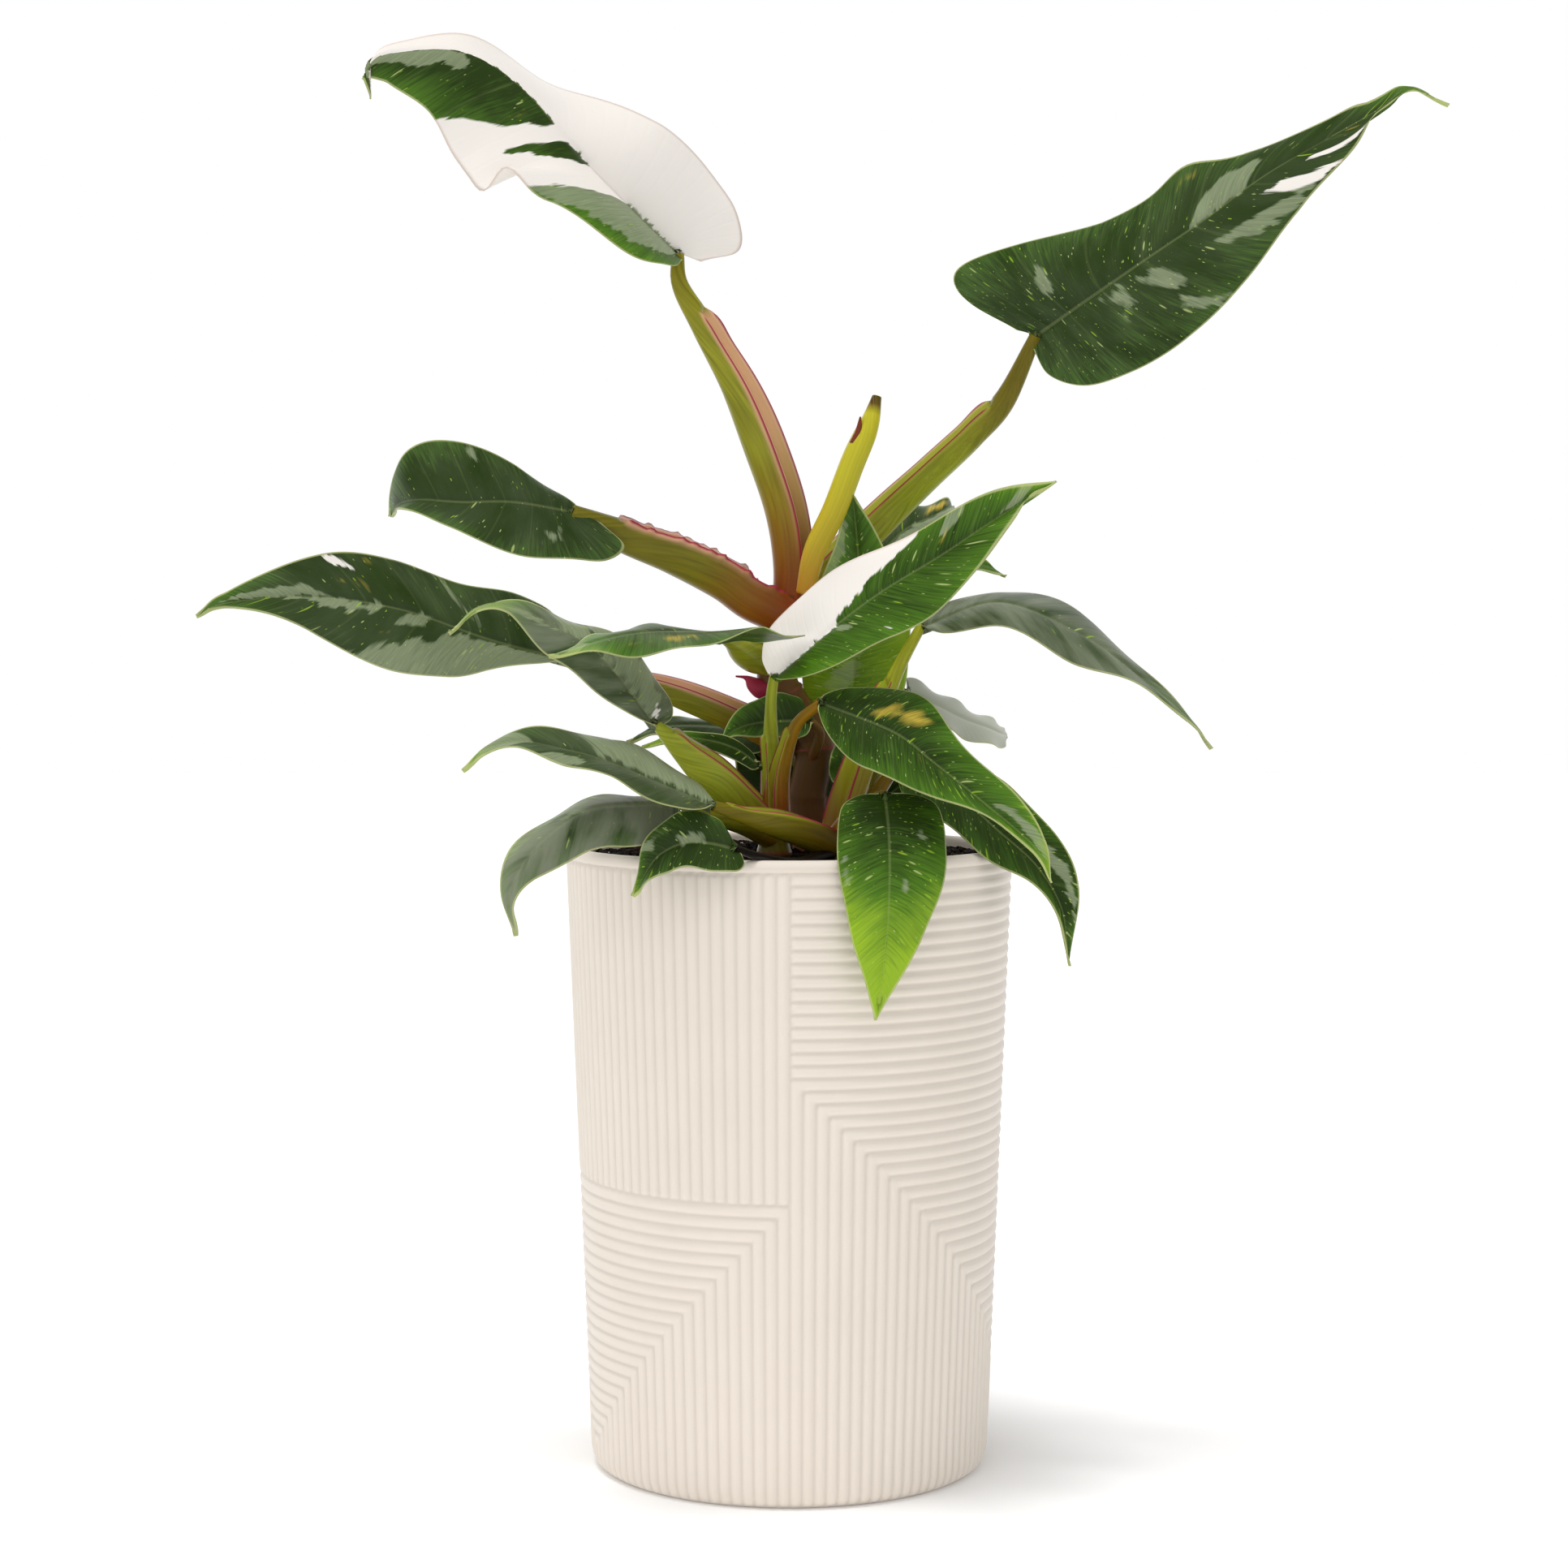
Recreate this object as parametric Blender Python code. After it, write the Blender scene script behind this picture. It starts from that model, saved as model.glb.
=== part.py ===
"""Potted white princess philodendron.

A cream ceramic pot with narrow raised ribs, potting mix, four shoots with their leaf stalks, and every
leaf blade as a thin closed solid of its own. Blender 4.5, metres, +Z up. The camera side of the plant is
-Y, +X is to the right, and the origin is the middle of the pot's foot.
"""

import math

import bmesh
import bpy
from mathutils import Vector
from mathutils.geometry import delaunay_2d_cdt

MM = 0.001

# Pot, in mm
POT_HEIGHT = 207.0
RIM_RADIUS = 75.0
FOOT_RADIUS = 66.4
RIB_DEPTH = 1.1
RIBS_AROUND = 108
RIB_TOP = 203.0
RIB_ROW = 4.05
ROWS_TO_BAND_CORNER = 16
ROWS_TO_RIGHT_CORNERS = 26
ROWS = 48
RIB_END = 1.4
WALL = 4.5
FLOOR_THICKNESS = 6.0
RIM_SEGMENTS = 54

# Potting mix, in mm
SOIL_TOP = 203.0
SOIL_CROWN = 1.5
SOIL_GAP = 0.5
SOIL_SEGMENTS = 36
HOLE_GAP = 0.6
STEM_DEPTH = 24.0

# Leaf blades, in mm
BLADE_THICKNESS = 0.8
BLADE_GAP = 0.3
STALK_SIDES = 8
STALK_TIP = 0.5

# A blade's veins, from the notch at the stalk to the tip: where each leaves the midrib and where it meets
# the margin, as shares of the blade's length (on a heart-shaped and on a blunt base), and how far out that
# is as a share of the half width
VEIN_ROOT = (0.0, 0.0, 0.03, 0.08, 0.16, 0.27, 0.40, 0.55, 0.71, 0.87, 1.0)
HEART_END = (-0.09, -0.15, -0.08, 0.05, 0.20, 0.36, 0.52, 0.67, 0.81, 0.93, 1.0)
BLUNT_END = (0.01, 0.03, 0.07, 0.14, 0.24, 0.37, 0.52, 0.67, 0.81, 0.93, 1.0)
VEIN_REACH = (0.12, 0.50, 0.84, 0.97, 1.0, 0.96, 0.83, 0.62, 0.38, 0.16, 0.015)
VEINS = (0, 1, 2, 3, 4, 5, 6, 7, 8, 9, 10)
SMALL_LEAF = 60.0
SMALL_LEAF_VEINS = (1, 3, 4.5, 6, 7.5, 9, 10)
VEIN_STEPS = 2

GLAZE = (0.86, 0.80, 0.71)
MIX = (0.03, 0.022, 0.018)
DARK_GREEN = (0.028, 0.085, 0.012)
MID_GREEN = (0.07, 0.20, 0.015)
LIME = (0.22, 0.44, 0.03)
GREY_GREEN = (0.22, 0.33, 0.20)
WHITE = (0.80, 0.82, 0.74)
STALK_GREEN = (0.20, 0.22, 0.03)


def clear_scene():
    """Take away whatever the file opened with."""
    for thing in list(bpy.data.objects):
        bpy.data.objects.remove(thing)


def material(name, colour, roughness):
    """Give a plain Principled material."""
    mat = bpy.data.materials.new(name)
    mat.use_nodes = True
    shader = mat.node_tree.nodes["Principled BSDF"]
    shader.inputs["Base Color"].default_value = (*colour, 1.0)
    shader.inputs["Roughness"].default_value = roughness
    shader.inputs["Metallic"].default_value = 0.0
    mat.diffuse_color = (*colour, 1.0)
    return mat


def add_object(name, verts, faces, mat):
    """Make one closed mesh object from points in mm."""
    mesh = bpy.data.meshes.new(name)
    mesh.from_pydata([Vector(v) * MM for v in verts], [], faces)
    form = bmesh.new()
    form.from_mesh(mesh)
    bmesh.ops.recalc_face_normals(form, faces=form.faces)
    if form.calc_volume(signed=True) < 0.0:
        bmesh.ops.reverse_faces(form, faces=form.faces)
    form.to_mesh(mesh)
    form.free()
    mesh.materials.append(mat)
    thing = bpy.data.objects.new(name, mesh)
    bpy.context.collection.objects.link(thing)
    return thing


def make_active(thing):
    """Select one object alone."""
    bpy.ops.object.select_all(action="DESELECT")
    thing.select_set(True)
    bpy.context.view_layer.objects.active = thing


def curve_through(points, share):
    """Point on a smooth curve through the given points; it runs on straight before and after its ends."""
    pts = [Vector(p) for p in points]
    steps = [(b - a).length for a, b in zip(pts, pts[1:])]
    total = sum(steps)
    if share <= 0.0:
        return pts[0] + (pts[1] - pts[0]).normalized() * share * total
    if share >= 1.0:
        return pts[-1] + (pts[-1] - pts[-2]).normalized() * (share - 1.0) * total
    left = share * total
    index = 0
    while left > steps[index] and index < len(steps) - 1:
        left -= steps[index]
        index += 1
    t = left / steps[index]
    p1 = pts[index]
    p2 = pts[index + 1]
    p0 = pts[index - 1] if index > 0 else p1 * 2.0 - p2
    p3 = pts[index + 2] if index + 2 < len(pts) else p2 * 2.0 - p1
    bend = (p2 - p0) * t + (p0 * 2.0 - p1 * 5.0 + p2 * 4.0 - p3) * t * t
    bend += (p1 * 3.0 - p0 - p2 * 3.0 + p3) * t * t * t
    return p1 + bend * 0.5


def curve_length(points):
    """Length of the straight runs between the points."""
    return sum((Vector(b) - Vector(a)).length for a, b in zip(points, points[1:]))


def direction(points, share):
    """Unit direction of the curve."""
    ahead = curve_through(points, min(share + 0.01, 1.0))
    behind = curve_through(points, max(share - 0.01, 0.0))
    return (ahead - behind).normalized()


def between(values, share):
    """Blend along a short list of numbers or vectors."""
    if len(values) == 1:
        return values[0]
    place = min(max(share, 0.0), 1.0) * (len(values) - 1)
    index = min(int(place), len(values) - 2)
    part = place - index
    return values[index] * (1.0 - part) + values[index + 1] * part


# Pot


def pot_radius(height):
    """Outer radius over the ribs' crests."""
    return FOOT_RADIUS + (RIM_RADIUS - FOOT_RADIUS) * height / POT_HEIGHT


def level(rows):
    """Height after a number of rib rows below the lip."""
    return RIB_TOP - rows * RIB_ROW


def column_run(rib_from, rib_to, height):
    """Points of a level line, three ribs apart, between two places given in ribs around the pot."""
    points = [(rib_from, height)]
    rib = math.floor(rib_from / 3.0) * 3.0 + 3.0
    while rib < rib_to - 0.7:
        points.append((rib, height))
        rib += 3.0
    points.append((rib_to, height))
    return points


def rib_lines():
    """Crest and groove lines of half the pot, as (is_crest, points); a point is (rib number, height).

    The ribs are level from rib 0 to the quarter and turn down at square corners, and upright from the
    quarter to the half above a second family of level ribs with their own corners.
    """
    half = RIBS_AROUND // 2
    quarter = half // 2
    foot = level(ROWS)
    lines = []
    for row in range(ROWS_TO_BAND_CORNER):
        lines.append((True, column_run(RIB_END / RIB_ROW, quarter - RIB_END / RIB_ROW, level(row + 0.5))))
        lines.append((False, column_run(0, quarter, level(row + 1))))
    first_nested = ROWS_TO_RIGHT_CORNERS - ROWS_TO_BAND_CORNER
    for rib in range(first_nested):
        row = ROWS_TO_BAND_CORNER + rib
        crest = column_run(rib + 0.5, quarter - RIB_END / RIB_ROW, level(row + 0.5))
        lines.append((True, [(rib + 0.5, foot + RIB_END)] + crest))
        groove = column_run(rib + 1, quarter if rib + 1 < first_nested else half, level(row + 1))
        lines.append((False, [(rib + 1, foot + RIB_END / 2)] + groove))
    for rib in range(first_nested, ROWS - ROWS_TO_BAND_CORNER):
        row = ROWS_TO_BAND_CORNER + rib
        far = half - (rib - first_nested)
        crest = column_run(rib + 0.5, far - 0.5, level(row + 0.5))
        lines.append((True, [(rib + 0.5, foot + RIB_END)] + crest + [(far - 0.5, foot + RIB_END)]))
        if rib + 1 < far - 1:
            groove = column_run(rib + 1, far - 1, level(row + 1))
            low = foot + RIB_END / 2
            lines.append((False, [(rib + 1, low)] + groove + [(far - 1, low)]))
    for rib in range(quarter, half):
        middle = level(ROWS_TO_BAND_CORNER)
        low = level(ROWS_TO_RIGHT_CORNERS)
        crest = [(rib + 0.5, RIB_TOP - RIB_END), (rib + 0.5, middle), (rib + 0.5, low + RIB_END)]
        lines.append((True, crest))
        if rib > quarter:
            lines.append((False, [(rib, RIB_TOP - RIB_END / 2), (rib, middle), (rib, low)]))
    return lines


def half_wall():
    """Triangles of half the ribbed wall, from the rib lines by a constrained triangulation."""
    half = RIBS_AROUND // 2
    quarter = half // 2
    foot = level(ROWS)
    crests = []
    points = []
    edges = []
    places = {}

    def place(rib, height, crest):
        key = (round(rib, 4), round(height, 4))
        if key not in places:
            places[key] = len(points)
            points.append(Vector((rib * RIB_ROW, height)))
            crests.append(crest)
        return places[key]

    def chain(run, crest):
        for start, end in zip(run, run[1:]):
            edges.append((place(*start, crest), place(*end, crest)))

    for crest, run in rib_lines():
        chain(run, crest)
    step = half / (RIM_SEGMENTS // 2)
    across = [i * step for i in range(RIM_SEGMENTS // 2 + 1)]
    chain([(rib, foot) for rib in across], False)
    chain([(rib, RIB_TOP) for rib in across], False)
    side = [foot] + sorted(level(row + 1) for row in range(ROWS_TO_BAND_CORNER))
    side.append(level(ROWS_TO_RIGHT_CORNERS))
    side.append(RIB_TOP)
    side.sort()
    for rib in (0, half):
        chain([(rib, height) for height in side], False)
    first_nested = ROWS_TO_RIGHT_CORNERS - ROWS_TO_BAND_CORNER
    joint = [level(row) for row in range(ROWS_TO_BAND_CORNER + first_nested, 0, -1)]
    joint.append(RIB_TOP - RIB_END / 2)
    chain([(quarter, height) for height in joint], False)
    flat, _, faces, origin, _, _ = delaunay_2d_cdt(points, edges, [], 0, 1e-5)
    tops = [bool(src) and crests[src[0]] for src in origin]
    return [(p.x / RIB_ROW, p.y, top) for p, top in zip(flat, tops)], faces


def build_pot():
    """Turned pot whose outside carries the ribs; hollow, with a flat floor and foot."""
    form = bmesh.new()
    flat, faces = half_wall()
    for turn in (0.0, math.pi):
        verts = []
        for rib, height, crest in flat:
            angle = turn + math.tau * rib / RIBS_AROUND
            radius = pot_radius(height) - (0.0 if crest else RIB_DEPTH)
            where = Vector((radius * math.sin(angle), -radius * math.cos(angle), height))
            verts.append(form.verts.new(where * MM))
        for face in faces:
            form.faces.new([verts[i] for i in face])

    def rings(profile):
        loops = []
        for radius, height in profile:
            loop = []
            for i in range(RIM_SEGMENTS):
                angle = math.tau * i / RIM_SEGMENTS
                where = Vector((radius * math.sin(angle), -radius * math.cos(angle), height))
                loop.append(form.verts.new(where * MM))
            loops.append(loop)
        for low, high in zip(loops, loops[1:]):
            for i in range(RIM_SEGMENTS):
                j = (i + 1) % RIM_SEGMENTS
                form.faces.new((low[i], low[j], high[j], high[i]))
        return loops

    foot = level(ROWS)
    base = rings([
        (FOOT_RADIUS - 3.9, 0.0),
        (FOOT_RADIUS - 2.0, 1.1),
        (FOOT_RADIUS - 0.9, 3.2),
        (pot_radius(foot) - RIB_DEPTH, foot),
    ])
    form.faces.new(base[0])
    inner_top = RIM_RADIUS - WALL
    inner_foot = FOOT_RADIUS - WALL
    lip = rings([
        (pot_radius(RIB_TOP) - RIB_DEPTH, RIB_TOP),
        (RIM_RADIUS, RIB_TOP + 0.5),
        (RIM_RADIUS, POT_HEIGHT - 1.3),
        (RIM_RADIUS - 1.1, POT_HEIGHT),
        (inner_top + 1.0, POT_HEIGHT),
        (inner_top, POT_HEIGHT - 1.0),
        (inner_foot, FLOOR_THICKNESS + 4.0),
        (inner_foot - 3.0, FLOOR_THICKNESS),
    ])
    form.faces.new(lip[-1])
    bmesh.ops.remove_doubles(form, verts=form.verts, dist=0.02 * MM)
    bmesh.ops.recalc_face_normals(form, faces=form.faces)
    mesh = bpy.data.meshes.new("pot")
    form.to_mesh(mesh)
    form.free()
    mesh.materials.append(material("Cream glazed ceramic", GLAZE, 0.4))
    pot = bpy.data.objects.new("pot", mesh)
    bpy.context.collection.objects.link(pot)
    return pot


# Potting mix


def soil_height(x, y):
    """Crowned, lightly lumpy top of the mix."""
    reach = math.hypot(x, y) / (RIM_RADIUS - WALL)
    lumps = math.sin(x * 0.21 + 1.0) * math.sin(y * 0.17)
    lumps += 0.6 * math.sin(x * 0.43) * math.sin(y * 0.37 + 2.0)
    return SOIL_TOP + SOIL_CROWN * (1.0 - reach * reach) + 0.5 * lumps * (1.0 - reach ** 4)


def build_soil(stems):
    """Solid plug of potting mix with a plain hole for each shoot."""
    inner_top = RIM_RADIUS - WALL - SOIL_GAP
    inner_foot = FOOT_RADIUS - WALL - SOIL_GAP - 3.4
    verts = [(0.0, 0.0, FLOOR_THICKNESS + SOIL_GAP)]
    faces = []
    outline = ((inner_foot, FLOOR_THICKNESS + SOIL_GAP), (inner_foot + 3.0, FLOOR_THICKNESS + 5.0),
               (inner_top - 0.2, SOIL_TOP - 2.0))
    shares = (0.97, 0.82, 0.62, 0.42, 0.22)
    count = SOIL_SEGMENTS
    for radius, height in outline:
        for i in range(count):
            angle = math.tau * i / count
            verts.append((radius * math.sin(angle), -radius * math.cos(angle), height))
    for share in shares:
        for i in range(count):
            angle = math.tau * i / count
            x = inner_top * share * math.sin(angle)
            y = -inner_top * share * math.cos(angle)
            verts.append((x, y, soil_height(x, y)))
    verts.append((0.0, 0.0, soil_height(0.0, 0.0)))
    loops = len(outline) + len(shares)
    for i in range(count):
        j = (i + 1) % count
        faces.append((0, 1 + j, 1 + i))
        for ring in range(loops - 1):
            low = 1 + ring * count
            faces.append((low + i, low + j, low + count + j, low + count + i))
        top = 1 + (loops - 1) * count
        faces.append((top + i, top + j, len(verts) - 1))
    soil = add_object("soil", verts, faces, material("Potting mix", MIX, 0.9))
    for x, y, radius in stems:
        bpy.ops.mesh.primitive_cylinder_add(
            vertices=16, radius=(radius + HOLE_GAP) * MM, depth=60.0 * MM,
            location=(x * MM, y * MM, (SOIL_TOP - STEM_DEPTH - HOLE_GAP + 30.0) * MM))
        cutter = bpy.context.active_object
        cutter.hide_render = True
        cutter.display_type = "WIRE"
        cut = soil.modifiers.new("Stem hole", "BOOLEAN")
        cut.operation = "DIFFERENCE"
        cut.object = cutter
        make_active(soil)
        bpy.ops.object.modifier_apply(modifier=cut.name)
        bpy.data.objects.remove(cutter)
    return soil


# Shoots and leaf stalks


def section(radius, channel):
    """Cross-section of a stalk; with a channel its upper side sinks between two raised sheath edges."""
    points = []
    for i in range(STALK_SIDES):
        angle = math.tau * i / STALK_SIDES
        across = math.cos(angle) * radius
        up = math.sin(angle) * radius
        if i == 2:
            up *= 1.0 - 1.15 * channel
        elif i in (1, 3):
            across *= 1.0 + 0.25 * channel
            up *= 1.0 + 0.35 * channel
        points.append((across, up))
    return points


def sweep(name, points, radii, mat, open_to=(0.0, -1.0, 0.0), sheath=0.0, rings=8):
    """Closed stalk along a smooth curve; the sheath's channel closes at its share of the length."""
    verts = []
    faces = []
    for ring in range(rings):
        share = ring / (rings - 1)
        centre = curve_through(points, share)
        along = direction(points, share)
        side = along.cross(Vector(open_to)).normalized()
        up = side.cross(along).normalized()
        channel = 0.0
        if sheath > 0.0 and ring > 0:
            channel = min(1.0, max(0.0, (sheath - share) / 0.25 + 0.15))
        for across, rise in section(between(radii, share), channel):
            verts.append(centre + side * across + up * rise)
    for ring in range(rings - 1):
        low = ring * STALK_SIDES
        for i in range(STALK_SIDES):
            j = (i + 1) % STALK_SIDES
            faces.append((low + i, low + j, low + STALK_SIDES + j, low + STALK_SIDES + i))
    faces.append(tuple(range(STALK_SIDES))[::-1])
    last = (rings - 1) * STALK_SIDES
    verts.append(curve_through(points, 1.0) + direction(points, 1.0) * between(radii, 1.0) * STALK_TIP)
    for i in range(STALK_SIDES):
        faces.append((last + i, last + (i + 1) % STALK_SIDES, len(verts) - 1))
    return add_object(name, verts, faces, mat)


def join_shoot(name, pieces):
    """Fuse a stem and its stalks into one solid."""
    stem = pieces[0]
    stem.name = name
    stalks = bpy.data.collections.new(name + " stalks")
    bpy.context.scene.collection.children.link(stalks)
    for piece in pieces[1:]:
        bpy.context.collection.objects.unlink(piece)
        stalks.objects.link(piece)
    union = stem.modifiers.new("Grown together", "BOOLEAN")
    union.operation = "UNION"
    union.operand_type = "COLLECTION"
    union.collection = stalks
    union.solver = "EXACT"
    make_active(stem)
    bpy.ops.object.modifier_apply(modifier=union.name)
    for piece in pieces[1:]:
        bpy.data.objects.remove(piece)
    bpy.data.collections.remove(stalks)
    return stem


# Leaf blades


def blade_point(spine, left, right, lobe, vein, out, wave):
    """Point of a blade's middle surface on vein number `vein`; out is -1 at one margin, 1 at the other."""
    place = min(vein, len(VEIN_ROOT) - 1)
    low = int(place)
    high = min(low + 1, len(VEIN_ROOT) - 1)
    part = place - low
    root = VEIN_ROOT[low] * (1 - part) + VEIN_ROOT[high] * part
    heart = HEART_END[low] * (1 - part) + HEART_END[high] * part
    blunt = BLUNT_END[low] * (1 - part) + BLUNT_END[high] * part
    end = blunt + (heart - blunt) * lobe
    reach = VEIN_REACH[low] * (1 - part) + VEIN_REACH[high] * part
    amount = abs(out)
    share = root + (end - root) * amount ** 1.2
    side = between([Vector(v) for v in (left if out < 0.0 else right)], share)
    along = direction(spine, share)
    up = along.cross(side) if out < 0.0 else side.cross(along)
    up.normalize()
    arch = 0.10 * side.length * reach * (amount - amount * amount) * 2.0
    ripple = wave * math.sin(share * 17.0 + (1.0 if out < 0.0 else 2.6)) * amount ** 3
    return curve_through(spine, share) + side * reach * amount + up * (arch + ripple)


def blade(name, spine, left, right, mat, lobe=(1.0, 1.0), wave=1.0):
    """Heart-shaped blade as a thin closed solid round its middle surface.

    spine runs from the stalk to the tip; left and right are the reach of the two half blades, seen from
    above the leaf, at even steps from the stalk to the tip.
    """
    columns = [i / VEIN_STEPS for i in range(-VEIN_STEPS, VEIN_STEPS + 1)]
    veins = SMALL_LEAF_VEINS if curve_length(spine) < SMALL_LEAF else VEINS
    rows = len(veins)
    grid = []
    for vein in veins:
        row = []
        for out in columns:
            row.append(blade_point(spine, left, right, lobe[0] if out < 0.0 else lobe[1], vein, out, wave))
        grid.append(row)
    wide = len(columns)
    middle = wide // 2
    # The first two veins leave from the stalk itself, so the notch's row closes on one point there
    index = {}
    verts = []
    for vein in range(rows):
        for col in range(wide):
            if vein == 1 and veins[0] == 0 and col == middle:
                index[vein, col] = index[0, middle]
                continue
            index[vein, col] = len(verts)
            verts.append(grid[vein][col])
    quads = []
    for vein in range(rows - 1):
        for col in range(wide - 1):
            loop = [index[vein, col], index[vein, col + 1], index[vein + 1, col + 1], index[vein + 1, col]]
            loop = [v for i, v in enumerate(loop) if v not in loop[:i]]
            quads.append(loop)
    tris = []
    for loop in quads:
        tris.append(tuple(loop[:3]))
        if len(loop) == 4:
            tris.append((loop[0], loop[2], loop[3]))
    normals = [Vector((0.0, 0.0, 0.0)) for _ in verts]
    for a, b, c in tris:
        turn = (verts[b] - verts[a]).cross(verts[c] - verts[a])
        for i in (a, b, c):
            normals[i] += turn
    half = BLADE_THICKNESS / 2.0
    count = len(verts)
    top = [v + n.normalized() * half for v, n in zip(verts, normals)]
    under = [v - n.normalized() * half for v, n in zip(verts, normals)]
    faces = list(tris)
    faces += [(c + count, b + count, a + count) for a, b, c in tris]
    used = {}
    for a, b, c in tris:
        for edge in ((a, b), (b, c), (c, a)):
            used[edge] = True
    for a, b in list(used):
        if (b, a) not in used:
            faces.append((a, a + count, b + count))
            faces.append((a, b + count, b))
    return add_object(name, top + under, faces, mat)


def stalk_end(last, notch, radius, gap):
    """Where a stalk stops, just short of the blade's notch."""
    along = (Vector(notch) - last).normalized()
    return Vector(notch) - along * (radius * STALK_TIP + BLADE_THICKNESS / 2.0 + gap)


# The plant. Each leaf has its blade's spine, half blades and colour, and its stalk's path, radii, sheath
# and the side the sheath opens to. All in mm, as measured on the real plant's picture.

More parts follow.
